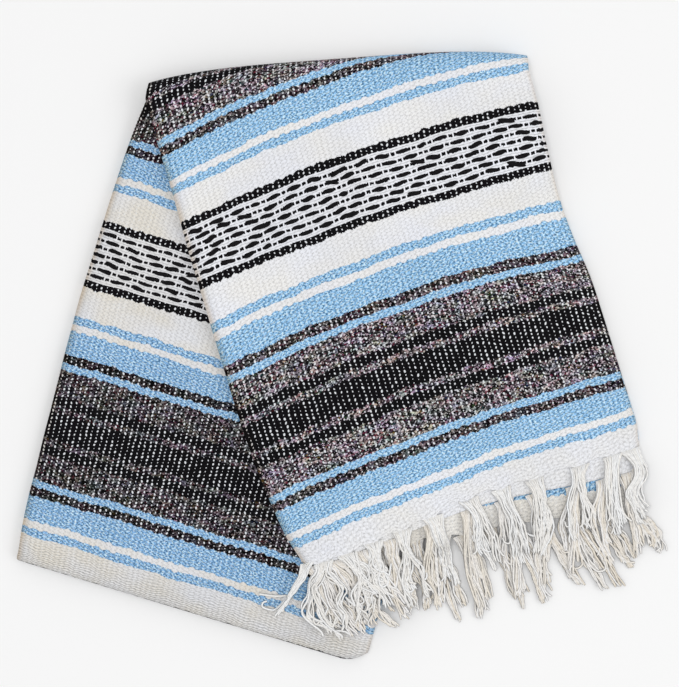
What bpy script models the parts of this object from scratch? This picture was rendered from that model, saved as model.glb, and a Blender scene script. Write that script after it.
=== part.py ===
"""Mexican serape blanket, folded into a narrow strip and folded over once, lying on a flat surface.

The blanket is one woven cloth with a knotted warp fringe at both ends. Folded in four across and
once end to end it is a strip eight layers thick. The strip lies folded over at the top, so that it
has two legs: the back leg runs down to the left and ends in a rounded fold, and the front leg lies
on it, runs down to the right and ends in the hems with their fringes.

The solids are the outer layer, the inner layer, the hidden layers between them as one rounded
solid, and three fringes, one for each hem that shows. Sizes are in millimetres, and the meshes are
written in metres, with +Z up and the surface that the blanket lies on at Z = 0.
"""

from math import cos, pi, radians, sin

import bmesh
import bpy
import numpy as np

MM = 0.001

# The cloth and the stack that one leg is made of.
PLY = 1.8                 # one layer of the woven cloth
SEAM = 0.3                # gap between two pieces
HIDDEN_PLIES = 6          # layers between the two that show
HIDDEN = HIDDEN_PLIES * PLY
STACK = PLY + SEAM + HIDDEN + SEAM + PLY
LEG_RISE = STACK + SEAM   # the front leg lies this high where it is on the back leg
STRIP_WIDTH = 334.0       # a quarter of the blanket's width

# Depth of each piece below the outer face of the stack, from its outer to its inner side.
OUTER_DEPTHS = (0.0, PLY)
HIDDEN_DEPTHS = (PLY + SEAM, PLY + SEAM + HIDDEN)
INNER_DEPTHS = (STACK - PLY, STACK)

# Where the legs lie: a corner of each on the surface, and how far its width is turned.
BACK_CORNER = np.array((-297.8, -195.9))
BACK_TURN = radians(-15.6)
FRONT_CORNER = np.array((-36.2, -198.2))
FRONT_TURN = radians(17.5)

# The middle of the folded blanket's outline, which becomes the origin.
MIDDLE = np.array((3.83, -14.36))

# The top fold, where the strip is rolled over: its centre line and the way it bulges outwards.
FOLD_LEFT = np.array((-177.5, 225.5))
FOLD_RIGHT = np.array((173.5, 250.5))
FOLD_BULGE = 9.5
FOLD_LEAN_LEFT = 0.13     # sideways lean of the roll's outward direction at its two ends
FOLD_LEAN_RIGHT = -0.07
FOLD_RADIUS = STACK + SEAM / 2
FOLD_STEPS = 8

# The bottom fold of the back leg: its centre line, across and along the leg.
BOTTOM_LEFT = (0.0, 3.0)
BOTTOM_RIGHT = (336.0, -4.5)
BOTTOM_RADIUS = STACK / 2
BOTTOM_STEPS = 6
NOSE_TURNS = (0.0, 25.0, 50.0, 75.0)   # degrees, the hidden layers' round end inside that fold
TAIL_SHARE = 0.03         # the inner layer is tucked under the back leg for this share of it
TAIL_GAP_SHARE = 0.0008

# The front leg comes down from the back leg onto the surface beside it.
DROP_START = 5.0          # distance from the back leg's edge where it begins to come down
CLOTH_DROP = 85.0
FRINGE_DROP = 60.0

COLUMNS = np.linspace(0.0, 1.0, 15)    # places across the strip, as shares of its width

# A row for each section of a leg, from its lower end to the top fold: how far its edges
# stand outside the straight line between their ends.
LEG_SECTIONS = (
    # share, front left, front right, back left
    (0.00, 0.0, 0.0, 0.0),
    (0.05, 6.2, 0.8, 5.0),
    (0.10, 8.9, 1.6, 6.9),
    (0.20, 11.8, 2.4, 8.0),
    (0.35, 11.9, 2.2, 9.0),
    (0.45, 11.6, -0.8, 9.6),
    (0.55, 10.4, -6.6, 10.5),
    (0.65, 8.7, -8.2, 9.8),
    (0.80, 5.5, -4.8, 7.8),
    (0.92, 3.0, -1.2, 4.8),
    (1.00, 0.0, 0.0, 0.0),
)
SHARES = [section[0] for section in LEG_SECTIONS]
FRONT_LEFT_OUT = [section[1] for section in LEG_SECTIONS]
FRONT_RIGHT_OUT = [section[2] for section in LEG_SECTIONS]
BACK_LEFT_OUT = [section[3] for section in LEG_SECTIONS]

# A row for each place across the front leg: how far up the leg each hem lies there. The top
# layer ends first, then the hidden layers, and the lowest layer lies furthest out.
HEM_PLACES = (
    # share across, top hem, middle hem, low hem
    (0.00, -3.0, -5.5, -9.0),
    (0.08, -6.5, -9.0, -12.5),
    (0.20, -3.5, -7.0, -13.0),
    (0.35, 1.0, -4.0, -16.0),
    (0.50, 8.0, -2.0, -24.0),
    (0.65, 6.5, -5.0, -31.0),
    (0.80, 5.5, -10.5, -39.0),
    (1.00, 5.6, -15.5, -50.0),
)
HEM_ACROSS = [place[0] for place in HEM_PLACES]
HEM_LEFT = 1.5            # across the leg, where the hems begin
HEM_RIGHT = {"top": 327.0, "middle": 325.0, "low": 318.0}
HEM_COLUMN = {"top": 1, "middle": 2, "low": 3}

# The stacked edge of the hidden layers: how far each one stands out, or stays in.
LAYER_OUT_RIGHT = (0.7, -0.6, 0.9, -0.2, 0.5, -0.8)
LAYER_OUT_LEFT = (-0.5, 0.8, -0.3, 0.9, -0.7, 0.6)
LAYER_VALLEY = -1.9
LAYER_INSET = 1.3
LAYER_ROUNDING = 0.35     # height of the slope from a valley to a layer's edge
PLY_EDGE_ROUNDING = 0.5

# The fringe: tassels of warp yarn gathered into locks, rooted in a narrow strip along a hem.
STRIP_DEPTH = 4.0
LOCKS = 5                 # in each tassel
LOCK_ROOT_WIDTH = 1.7
LOCK_TIP_WIDTH = 1.4
LOCK_HEIGHT = 1.1
LOCK_STEPS = 5

# How high the underside of a fringe lies above what carries it: at its hem, further
# down where it lies on the lower layers, and beyond them.
FRINGE_LEVELS = {
    # hem: (at the hem, on the cloth, beyond the cloth)
    "top": (13.5, 6.4, 4.4),
    "middle": (10.9, 4.2, 2.4),
    "low": (0.4, 0.4, 0.4),
}
FRINGE_LIFT = 0.9         # a tassel rises this much as it leaves its hem
LEVEL_FALL = 45.0
CLOTH_END_FALL = 25.0

# A row for each tassel: where it is rooted across the leg, and where its tip lies.
TASSELS = {
    # hem: (root across, tip across, tip along, sway, spread)
    "top": (
        (6.0, -41.0, -50.0, 0.0, 10.0),
        (20.0, 12.0, -84.0, -4.0, 13.0),
        (43.0, 50.0, -71.0, 5.0, 15.0),
        (69.0, 72.0, -64.0, 0.0, 14.0),
        (98.0, 91.0, -76.0, -2.0, 15.0),
        (128.0, 131.0, -68.0, 2.0, 15.0),
        (164.0, 170.0, -66.0, 3.0, 15.0),
        (196.0, 194.0, -68.0, 3.0, 13.0),
        (228.0, 215.0, -66.0, 5.0, 13.0),
        (272.0, 256.0, -62.0, -4.0, 16.0),
        (303.0, 286.0, -70.0, -3.0, 14.0),
        (321.0, 310.0, -66.0, -4.0, 14.0),
    ),
    "middle": (
        (10.0, 29.0, -82.0, -3.0, 12.0),
        (34.0, 46.0, -84.0, 2.0, 12.0),
        (58.0, 65.0, -87.0, 0.0, 14.0),
        (84.0, 84.0, -78.0, 2.0, 14.0),
        (112.0, 108.0, -84.0, -2.0, 15.0),
        (146.0, 147.0, -98.0, 2.0, 15.0),
        (180.0, 184.0, -96.0, 3.0, 15.0),
        (212.0, 209.0, -94.0, 2.0, 15.0),
        (248.0, 236.0, -90.0, -3.0, 15.0),
        (284.0, 270.0, -94.0, -3.0, 15.0),
        (311.0, 303.0, -92.0, -2.0, 15.0),
    ),
    "low": (
        (22.0, 20.0, -76.0, 0.0, 13.0),
        (50.0, 44.0, -80.0, 0.0, 13.0),
        (75.0, 73.0, -80.0, 0.0, 13.0),
        (104.0, 101.0, -82.0, 0.0, 14.0),
        (130.0, 129.0, -102.0, -2.0, 14.0),
        (150.0, 149.0, -105.0, 0.0, 14.0),
        (172.0, 186.0, -109.0, 2.0, 15.0),
        (197.0, 211.0, -109.0, 2.0, 15.0),
        (223.0, 240.0, -104.0, 0.0, 15.0),
        (249.0, 270.0, -116.0, 0.0, 15.0),
        (274.0, 294.0, -102.0, 2.0, 15.0),
        (300.0, 322.0, -98.0, 2.0, 14.0),
    ),
}

# A plain colour for each piece: red, green, blue, and how rough it is.
FINISHES = {
    "outer_stretch": (0.56, 0.63, 0.72, 0.9),
    "inner_stretch": (0.50, 0.56, 0.64, 0.9),
    "hidden_layers": (0.66, 0.64, 0.60, 0.9),
    "fringe_top": (0.88, 0.86, 0.81, 0.85),
    "fringe_middle": (0.86, 0.83, 0.77, 0.85),
    "fringe_low": (0.84, 0.81, 0.75, 0.85),
}


def smooth(share):
    """Rise gently from 0 to 1 as the share does."""
    share = min(max(share, 0.0), 1.0)
    return share * share * (3 - 2 * share)


def mix(start, end, share):
    return start + (end - start) * share


def leg_axes(turn):
    """The directions across and along a leg, on the surface."""
    return np.array((cos(turn), sin(turn))), np.array((-sin(turn), cos(turn)))


BACK_ACROSS, BACK_ALONG = leg_axes(BACK_TURN)
FRONT_ACROSS, FRONT_ALONG = leg_axes(FRONT_TURN)


def front_place(across, along):
    return FRONT_CORNER + across * FRONT_ACROSS + along * FRONT_ALONG


def back_place(across, along):
    return BACK_CORNER + across * BACK_ACROSS + along * BACK_ALONG


def beyond_back_leg(place):
    """How far a place lies to the right of the back leg's long edge."""
    return (place - BACK_CORNER) @ BACK_ACROSS - STRIP_WIDTH


def rise(place, drop):
    """Height of what carries the front leg at a place: the back leg, then the surface."""
    return LEG_RISE * (1 - smooth((beyond_back_leg(place) - DROP_START) / drop))


# --- The top fold ---------------------------------------------------------------------------

def fold_outward(u):
    direction = np.array((mix(FOLD_LEAN_LEFT, FOLD_LEAN_RIGHT, u), 1.0))
    return direction / np.linalg.norm(direction)


def fold_centre(u):
    bulge = FOLD_BULGE * (1 - (2 * u - 1) ** 4)
    return mix(FOLD_LEFT, FOLD_RIGHT, u) + bulge * fold_outward(u)


def fold_point(u, turn, depth):
    """A point of the roll, turned from its top (0) round its outer side to its underside."""
    radius = FOLD_RADIUS - depth
    place = fold_centre(u) + fold_outward(u) * radius * sin(turn)
    return np.array((*place, FOLD_RADIUS + radius * cos(turn)))


# --- The legs -------------------------------------------------------------------------------

def hem_along(hem, u):
    column = HEM_COLUMN[hem]
    return float(np.interp(u, HEM_ACROSS, [place[column] for place in HEM_PLACES]))


def hem_place(hem, u):
    return front_place(mix(HEM_LEFT, HEM_RIGHT[hem], u), hem_along(hem, u))


def front_point(u, share, depth):
    """A point of the front leg, from the top hem (0) to the top fold (1)."""
    left = float(np.interp(share, SHARES, FRONT_LEFT_OUT))
    right = float(np.interp(share, SHARES, FRONT_RIGHT_OUT))
    place = mix(hem_place("top", u), fold_centre(u), share) + mix(-left, right, u) * FRONT_ACROSS
    return np.array((*place, rise(place, CLOTH_DROP) + STACK - depth))


def hem_point(hem, u, depth):
    """A point of the front leg on one of its hems."""
    place = hem_place(hem, u)
    return np.array((*place, rise(place, CLOTH_DROP) + STACK - depth))


def bottom_centre(u):
    return mix(back_place(*BOTTOM_LEFT), back_place(*BOTTOM_RIGHT), u)


def back_point(u, share, depth):
    """A point of the back leg, from the bottom fold (0) to the top fold (1)."""
    left = float(np.interp(share, SHARES, BACK_LEFT_OUT))
    place = mix(bottom_centre(u), fold_centre(u), share) - left * (1 - u) * BACK_ACROSS
    return np.array((*place, depth))


def bottom_point(u, turn, depth):
    """A point of the bottom fold, turned from its top (0) round its end to its underside."""
    radius = depth - BOTTOM_RADIUS
    place = bottom_centre(u) - BACK_ALONG * radius * sin(turn)
    return np.array((*place, BOTTOM_RADIUS + radius * cos(turn)))


def nose_point(u, turn, depth):
    """A point of the hidden layers' round end, which closes as it turns."""
    half = HIDDEN / 2
    place = bottom_centre(u) - BACK_ALONG * half * sin(turn)
    return np.array((*place, BOTTOM_RADIUS + (depth - BOTTOM_RADIUS) * cos(turn)))


# --- Sections: each is a way to place a point by its share across and its depth ------------

def front_sections():
    return [lambda u, depth, s=share: front_point(u, s, depth) for share in SHARES]


def fold_sections():
    turns = [pi * step / FOLD_STEPS for step in range(1, FOLD_STEPS)]
    return [lambda u, depth, t=turn: fold_point(u, t, depth) for turn in turns]


def back_sections(lowest):
    shares = [share for share in reversed(SHARES) if share > lowest] + [lowest]
    return [lambda u, depth, s=share: back_point(u, s, depth) for share in shares]


def hem_section(hem):
    return lambda u, depth: hem_point(hem, u, depth)


def outward(section, side, depth):
    """The direction in which the edge of a section faces, in line with its last stretch."""
    edge, inner = (COLUMNS[0], COLUMNS[1]) if side == "left" else (COLUMNS[-1], COLUMNS[-2])
    direction = section(edge, depth) - section(inner, depth)
    return direction / np.linalg.norm(direction)


def edge_point(section, side, depth, out):
    edge = COLUMNS[0] if side == "left" else COLUMNS[-1]
    return section(edge, depth) + out * outward(section, side, depth)


def ply_ring(section, depths):
    """A layer's outline at one section: its outer side, an edge, its inner side, an edge."""
    outer, inner = depths
    middle = (outer + inner) / 2
    outer_side = [section(u, outer) for u in COLUMNS]
    right = [edge_point(section, "right", middle, PLY_EDGE_ROUNDING)]
    inner_side = [section(u, inner) for u in reversed(COLUMNS)]
    left = [edge_point(section, "left", middle, PLY_EDGE_ROUNDING)]
    return outer_side, right, inner_side, left


def layered_edge(section, side, outs):
    """The stacked edges of the hidden layers, from the outer one to the inner one."""
    points = []
    for index, out in enumerate(outs):
        start = HIDDEN_DEPTHS[0] + index * PLY
        if index:
            points.append(edge_point(section, side, start, LAYER_VALLEY))
        points.append(edge_point(section, side, start + LAYER_ROUNDING, out))
        points.append(edge_point(section, side, start + PLY - LAYER_ROUNDING, out))
    return points


def hidden_ring(section):
    """The hidden layers' outline at one section, with its faces a little narrower."""
    outer, inner = HIDDEN_DEPTHS
    sides = []
    for depth in (outer, inner):
        row = [section(u, depth) for u in COLUMNS]
        row[0] = edge_point(section, "left", depth, -LAYER_INSET)
        row[-1] = edge_point(section, "right", depth, -LAYER_INSET)
        sides.append(row)
    right = layered_edge(section, "right", LAYER_OUT_RIGHT)
    left = layered_edge(section, "left", LAYER_OUT_LEFT)
    return sides[0], right, sides[1][::-1], left[::-1]


# --- Building -------------------------------------------------------------------------------

def to_metres(point):
    return ((point[0] - MIDDLE[0]) * MM, (point[1] - MIDDLE[1]) * MM, point[2] * MM)


def close_end(mesh, sides):
    """Close a loft's end with a ladder of faces between its two sides and one at each edge."""
    outer, right, inner, left = sides
    inner = inner[::-1]
    for index in range(len(outer) - 1):
        mesh.faces.new((outer[index], outer[index + 1], inner[index + 1], inner[index]))
    mesh.faces.new([outer[-1], *right, inner[-1]])
    mesh.faces.new([inner[0], *left, outer[0]])


def loft(rings):
    """Join rings of four sides each into one closed body.

    All its faces are triangles cut the same way across the strip, so that the bent
    faces of two layers stay parallel.
    """
    mesh = bmesh.new()
    levels = []
    for ring in rings:
        levels.append([[mesh.verts.new(to_metres(point)) for point in side] for side in ring])
    loops = [[vert for side in level for vert in side] for level in levels]
    first_inner = len(rings[0][0]) + len(rings[0][1])
    for lower, upper in zip(loops, loops[1:]):
        for index in range(len(lower)):
            after = (index + 1) % len(lower)
            near, far = (index, after) if index < first_inner else (after, index)
            mesh.faces.new((lower[near], lower[far], upper[far]))
            mesh.faces.new((lower[near], upper[far], upper[near]))
    close_end(mesh, levels[0])
    close_end(mesh, levels[-1])
    return mesh


def add_object(name, mesh, collection):
    """Make an object of a finished mesh, with its own material."""
    bmesh.ops.recalc_face_normals(mesh, faces=mesh.faces)
    data = bpy.data.meshes.new(name)
    mesh.to_mesh(data)
    mesh.free()
    red, green, blue, roughness = FINISHES[name]
    material = bpy.data.materials.new(name)
    material.use_nodes = True
    shader = material.node_tree.nodes["Principled BSDF"]
    shader.inputs["Base Color"].default_value = (red, green, blue, 1.0)
    shader.inputs["Roughness"].default_value = roughness
    shader.inputs["Metallic"].default_value = 0.0
    data.materials.append(material)
    data.shade_smooth()
    data.set_sharp_from_angle(angle=radians(35))
    part = bpy.data.objects.new(name, data)
    collection.objects.link(part)
    return part


def build_outer_stretch(collection):
    """The outer layer: the top of the front leg, over the roll and under the back leg."""
    sections = front_sections() + fold_sections() + back_sections(TAIL_SHARE + TAIL_GAP_SHARE)
    rings = [ply_ring(section, OUTER_DEPTHS) for section in sections]
    return add_object("outer_stretch", loft(rings), collection)


def build_inner_stretch(collection):
    """The inner layer: under the front leg, through the crease, on the back leg and round
    its bottom fold."""
    bottom_turns = [pi * step / BOTTOM_STEPS for step in range(1, BOTTOM_STEPS + 1)]
    bottom = [lambda u, depth, t=turn: bottom_point(u, t, depth) for turn in bottom_turns]
    # Under the back leg the layer's outer face is down, so its depth counts the other way.
    tail = [lambda u, depth: back_point(u, TAIL_SHARE, STACK - depth)]
    hems = [hem_section("low"), hem_section("middle")]
    sections = hems + front_sections() + fold_sections() + back_sections(0.0) + bottom + tail
    rings = [ply_ring(section, INNER_DEPTHS) for section in sections]
    return add_object("inner_stretch", loft(rings), collection)


def build_hidden_layers(collection):
    """The six layers between, as one solid with layered edges and a round end."""
    nose = [lambda u, depth, t=radians(turn): nose_point(u, t, depth) for turn in NOSE_TURNS]
    sections = [hem_section("middle")] + front_sections() + fold_sections()
    sections += back_sections(0.05) + nose
    rings = [hidden_ring(section) for section in sections]
    return add_object("hidden_layers", loft(rings), collection)


def fringe_height(hem, place):
    """Height of a tassel's underside at a place on its way down from its hem."""
    offset = place - FRONT_CORNER
    along = offset @ FRONT_ALONG
    u = min(max((offset @ FRONT_ACROSS - HEM_LEFT) / (HEM_RIGHT["top"] - HEM_LEFT), 0.0), 1.0)
    past_cloth = smooth((hem_along("low", u) - along) / CLOTH_END_FALL)
    fallen = smooth((hem_along("middle", u) - along) / LEVEL_FALL)
    at_hem, on_cloth, beyond = FRINGE_LEVELS[hem]
    lifted = at_hem + (FRINGE_LIFT if hem != "low" else 0.0)
    carrier = mix(rise(place, CLOTH_DROP), rise(place, FRINGE_DROP), past_cloth)
    return carrier + mix(lifted, mix(on_cloth, beyond, past_cloth), fallen)


def hem_line_point(hem, across):
    """A point on the straight stretches between the columns of a hem, and its height there."""
    shares = (across - HEM_LEFT) / (HEM_RIGHT[hem] - HEM_LEFT)
    corners = np.array([hem_point(hem, u, STACK) for u in COLUMNS])
    return np.array([np.interp(shares, COLUMNS, corners[:, axis]) for axis in range(3)])


def strip_stations(hem, tassels):
    """Places along the strip: at the columns, and at both sides of every lock."""
    half = LOCKS * LOCK_ROOT_WIDTH / 2
    roots = [[root - half + index * LOCK_ROOT_WIDTH for index in range(LOCKS + 1)]
             for root, *_ in tassels]
    columns = [mix(HEM_LEFT, HEM_RIGHT[hem], u) for u in COLUMNS]
    clear = LOCK_ROOT_WIDTH / 2
    kept = [place for place in columns
            if all(place < row[0] - clear or place > row[-1] + clear for row in roots)]
    return sorted(kept + [place for row in roots for place in row]), roots


def lock_ring(hem, centre, direction, width):
    """The four corners of a lock's section: lower left, lower right, upper right, upper left."""
    side = np.array((-direction[1], direction[0])) * width / 2
    height = fringe_height(hem, centre)
    corners = (centre - side, centre + side, centre + side, centre - side)
    heights = (height, height, height + LOCK_HEIGHT, height + LOCK_HEIGHT)
    return [np.array((*corner, level)) for corner, level in zip(corners, heights)]


def grow_lock(mesh, face, hem, tassel, index):
    """Draw one lock out of its root face, a ring at a time, to its tip."""
    root_across, tip_across, tip_along, sway, spread = tassel
    offset = index - (LOCKS - 1) / 2
    start_across = root_across + offset * LOCK_ROOT_WIDTH
    end_across = tip_across + offset * spread / (LOCKS - 1)
    end_along = tip_along + 2.5 * cos(2.1 * index + root_across)
    start_along = (hem_line_point(hem, start_across)[:2] - FRONT_CORNER) @ FRONT_ALONG
    start_along -= SEAM + STRIP_DEPTH

    def centre(share):
        across = mix(start_across, end_across, share) + sway * sin(pi * share)
        return front_place(across, mix(start_along, end_along, share))

    for step in range(1, LOCK_STEPS + 1):
        share = step / LOCK_STEPS
        direction = centre(share) - centre(share - 0.05)
        direction = direction / np.linalg.norm(direction)
        width = mix(LOCK_ROOT_WIDTH, LOCK_TIP_WIDTH, share)
        if step == 1:
            width = LOCK_TIP_WIDTH
        ring = lock_ring(hem, centre(share), direction, width)
        face = bmesh.ops.extrude_discrete_faces(mesh, faces=[face])["faces"][0]
        for vert, corner in zip(face.verts, ring):
            vert.co = to_metres(corner)


def build_fringe(hem, collection):
    """A narrow strip along a hem, with the tassels' locks drawn out of its front."""
    tassels = TASSELS[hem]
    stations, roots = strip_stations(hem, tassels)
    at_hem = FRINGE_LEVELS[hem][0]
    mesh = bmesh.new()
    rings = []
    for across in stations:
        x, y, height = hem_line_point(hem, across)
        back = np.array((x, y)) - FRONT_ALONG * SEAM * 1.2
        front = back - FRONT_ALONG * STRIP_DEPTH
        low = height + at_hem
        high = low + LOCK_HEIGHT
        corners = ((*back, low), (*back, high), (*front, high), (*front, low))
        rings.append([mesh.verts.new(to_metres(corner)) for corner in corners])
    for ring, after in zip(rings, rings[1:]):
        mesh.faces.new((ring[0], ring[1], after[1], after[0]))
        mesh.faces.new((ring[1], ring[2], after[2], after[1]))
        mesh.faces.new((ring[3], ring[0], after[0], after[3]))
    mesh.faces.new(rings[0])
    mesh.faces.new(rings[-1])
    starts = {row[index]: (number, index) for number, row in enumerate(roots) for index in range(LOCKS)}
    for place, ring, after in zip(stations, rings, rings[1:]):
        face = mesh.faces.new((ring[3], after[3], after[2], ring[2]))
        if place in starts:
            number, index = starts[place]
            grow_lock(mesh, face, hem, tassels[number], index)
    return add_object(f"fringe_{hem}", mesh, collection)


for leftover in list(bpy.data.objects):
    bpy.data.objects.remove(leftover, do_unlink=True)
serape = bpy.data.collections.new("mexican_serape")
bpy.context.scene.collection.children.link(serape)
build_outer_stretch(serape)
build_inner_stretch(serape)
build_hidden_layers(serape)
for hem_name in TASSELS:
    build_fringe(hem_name, serape)
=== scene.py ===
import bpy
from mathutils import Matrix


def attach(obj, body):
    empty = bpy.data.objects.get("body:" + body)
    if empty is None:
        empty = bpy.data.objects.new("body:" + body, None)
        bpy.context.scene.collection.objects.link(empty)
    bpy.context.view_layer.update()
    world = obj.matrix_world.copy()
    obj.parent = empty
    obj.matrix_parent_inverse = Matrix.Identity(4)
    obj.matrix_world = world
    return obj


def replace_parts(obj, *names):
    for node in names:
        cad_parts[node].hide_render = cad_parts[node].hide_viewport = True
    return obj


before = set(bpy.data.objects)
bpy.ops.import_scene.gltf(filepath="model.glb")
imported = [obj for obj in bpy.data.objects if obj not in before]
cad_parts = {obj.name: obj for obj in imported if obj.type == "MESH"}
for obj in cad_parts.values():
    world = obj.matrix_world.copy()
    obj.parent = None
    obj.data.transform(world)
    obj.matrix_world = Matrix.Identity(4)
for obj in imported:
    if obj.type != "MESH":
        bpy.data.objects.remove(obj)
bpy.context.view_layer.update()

from math import pi, radians

import bpy
import numpy as np

# --- Camera and studio ------------------------------------------------------------------------
# The folded blanket lies on a plain pale floor. The camera looks straight down on it from
# above. One soft lamp hangs over it, a wider and fainter one stands to its right, and even
# light comes from all round.

MM = 0.001
PICTURE_LONG_SIDE = 687
FLOOR_PER_PIXEL = 0.93 * MM
CAMERA_HEIGHT = 1.9
SENSOR = 36.0
# From the middle of the picture to the middle of the folded blanket, on the floor.
MIDDLE = np.array((3.83, -14.36))

scene = bpy.context.scene
scene.view_settings.view_transform = "Standard"

camera_data = bpy.data.cameras.new("camera")
camera_data.sensor_width = SENSOR
camera_data.lens = SENSOR * CAMERA_HEIGHT / (PICTURE_LONG_SIDE * FLOOR_PER_PIXEL)
camera = bpy.data.objects.new("camera", camera_data)
camera.location = (-MIDDLE[0] * MM, -MIDDLE[1] * MM, CAMERA_HEIGHT)
scene.collection.objects.link(camera)
scene.camera = camera

world = bpy.data.worlds.new("studio light")
world.use_nodes = True
world.node_tree.nodes["Background"].inputs["Color"].default_value = (1.0, 1.0, 1.0, 1.0)
world.node_tree.nodes["Background"].inputs["Strength"].default_value = 0.56
scene.world = world


def add_lamp(name, place, size, power):
    """A square soft lamp that faces the middle of the floor."""
    data = bpy.data.lights.new(name, "AREA")
    data.size = size
    data.energy = power
    lamp = bpy.data.objects.new(name, data)
    lamp.location = place
    towards = -lamp.location.normalized()
    lamp.rotation_euler = towards.to_track_quat("-Z", "Y").to_euler()
    scene.collection.objects.link(lamp)


add_lamp("key lamp", (-0.4, 0.1, 4.4), 1.7, 64.0)
add_lamp("side lamp", (3.8, -0.9, 3.6), 3.0, 52.0)


def new_finish(name, roughness):
    """A plain finish, and the shader that its colour goes into."""
    finish = bpy.data.materials.new(name)
    finish.use_nodes = True
    shader = finish.node_tree.nodes["Principled BSDF"]
    shader.inputs["Roughness"].default_value = roughness
    return finish, shader


FLOOR_HALF = 6.0
FLOOR_DROP = 0.3 * MM
floor_mesh = bpy.data.meshes.new("floor")
floor_mesh.from_pydata([(x * FLOOR_HALF, y * FLOOR_HALF, -FLOOR_DROP)
                        for x, y in ((-1, -1), (1, -1), (1, 1), (-1, 1))], [], [(0, 1, 2, 3)])
floor_paint, floor_shader = new_finish("pale floor", 1.0)
floor_shader.inputs["Base Color"].default_value = (0.95, 0.95, 0.95, 1.0)
floor_mesh.materials.append(floor_paint)
floor = bpy.data.objects.new("floor", floor_mesh)
scene.collection.objects.link(floor)


# --- The outer layer of the folded blanket ----------------------------------------------------
# One stretch of the woven cloth: up the front leg from its hem, over the roll of the top fold
# and down under the back leg. A weft of thick soft yarn hides the white warp but for a dot
# where a warp yarn comes up, and the weft's stripes run from selvedge to selvedge.

PLY = 1.8
SEAM = 0.3
HIDDEN_PLIES = 6
HIDDEN = HIDDEN_PLIES * PLY
STACK = PLY + SEAM + HIDDEN + SEAM + PLY
LEG_RISE = STACK + SEAM
STRIP_WIDTH = 334.0
WARPS = 68
WARP_PITCH = STRIP_WIDTH / WARPS
PICK_PITCH = 1.715
WEAVE_RELIEF = 0.15

BACK_CORNER = np.array((-297.8, -195.9))
BACK_TURN = radians(-15.6)
FRONT_CORNER = np.array((-36.2, -198.2))
FRONT_TURN = radians(17.5)
FOLD_LEFT = np.array((-177.5, 225.5))
FOLD_RIGHT = np.array((173.5, 250.5))
FOLD_BULGE = 9.5
FOLD_LEAN = (0.13, -0.07)
FOLD_RADIUS = STACK + SEAM / 2
BOTTOM_LEFT = (0.0, 3.0)
BOTTOM_RIGHT = (336.0, -4.5)
BOTTOM_RADIUS = STACK / 2
BOTTOM_LIFT = 11.0
TAIL_SHARE = 0.03
TAIL_GAP_SHARE = 0.0008
DROP_START = 5.0
CLOTH_DROP = 85.0
# How the stripes lie on the front leg: cloth distance from the hem, and how far up the leg
# that is near the left edge, at the crease and near the right edge.
STRIPE_PLACES = (0.03, 0.43, 0.97)
STRIPE_ROWS = (
    # cloth, left, crease, right
    (16.7, 13.7, 18.3, 11.0),
    (70.0, 66.8, 72.3, 62.5),
    (122.0, 121.7, 128.1, 117.5),
    (182.8, 184.0, 191.3, 177.0),
    (228.0, 235.2, 240.7, 229.3),
    (263.0, 272.8, 275.5, 264.0),
    (315.0, 324.0, 329.5, 316.0),
    (357.2, 364.3, 372.5, 359.0),
    (402.6, 410.0, 418.3, 405.0),
)
# How far the edges of the legs stand outside the straight line between their ends.
EDGE_ROWS = (
    # share of the leg, front left, front right, back left
    (0.00, 0.0, 0.0, 0.0),
    (0.05, 6.2, 3.2, 2.8),
    (0.10, 8.9, 3.0, 4.2),
    (0.20, 11.8, 2.6, 5.6),
    (0.35, 11.9, 2.2, 7.8),
    (0.45, 11.2, 1.6, 8.8),
    (0.55, 9.6, -2.6, 9.6),
    (0.65, 7.6, -5.4, 9.0),
    (0.80, 4.6, -3.6, 7.0),
    (0.92, 2.6, -0.8, 4.2),
    (1.00, 0.0, 0.0, 0.0),
)
# How far up the front leg its three hems lie.
HEM_ROWS = (
    # share across, top hem, middle hem, low hem
    (0.00, -0.5, -3.5, -7.0),
    (0.03, -5.5, -8.0, -11.5),
    (0.08, -6.8, -9.0, -12.5),
    (0.20, -3.5, -7.0, -13.0),
    (0.35, 1.0, -4.0, -16.0),
    (0.50, 8.0, -2.0, -24.0),
    (0.65, 6.5, -5.0, -31.0),
    (0.80, 5.5, -10.5, -39.0),
    (1.00, 5.6, -15.5, -50.0),
)
HEM_LEFT = 1.5
HEM_RIGHT = {"top": 330.0, "middle": 326.0, "low": 310.0}
HEM_COLUMN = {"top": 1, "middle": 2, "low": 3}
# The stripes lean a little against the front leg's own direction.
STRIPE_LEAN = 0.0505


def mix(start, end, share):
    return start + (end - start) * share


def smooth(share):
    share = np.clip(share, 0.0, 1.0)
    return share * share * (3 - 2 * share)


def through(rows, column, places):
    """A smooth curve through one column of a table, at places given in its first column."""
    knots = np.array([row[0] for row in rows])
    values = np.array([row[column] for row in rows])
    slopes = np.gradient(values, knots)
    left = np.clip(np.searchsorted(knots, places, side="right") - 1, 0, len(knots) - 2)
    span = knots[left + 1] - knots[left]
    inside = np.clip(places, knots[0], knots[-1])
    t = (inside - knots[left]) / span
    curve = ((1 + 2 * t) * (1 - t) ** 2 * values[left] + t * (1 - t) ** 2 * span * slopes[left]
             + t * t * (3 - 2 * t) * values[left + 1] + t * t * (t - 1) * span * slopes[left + 1])
    before = np.minimum(places - knots[0], 0) * slopes[0]
    return curve + before + np.maximum(places - knots[-1], 0) * slopes[-1]


def leg_axes(turn):
    return np.array((np.cos(turn), np.sin(turn))), np.array((-np.sin(turn), np.cos(turn)))


BACK_ACROSS, BACK_ALONG = leg_axes(BACK_TURN)
FRONT_ACROSS, FRONT_ALONG = leg_axes(FRONT_TURN)


def spot(across, along, directions, corner):
    """Places on the floor, from distances across and along a leg."""
    return corner + across[..., None] * directions[0] + along[..., None] * directions[1]


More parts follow.
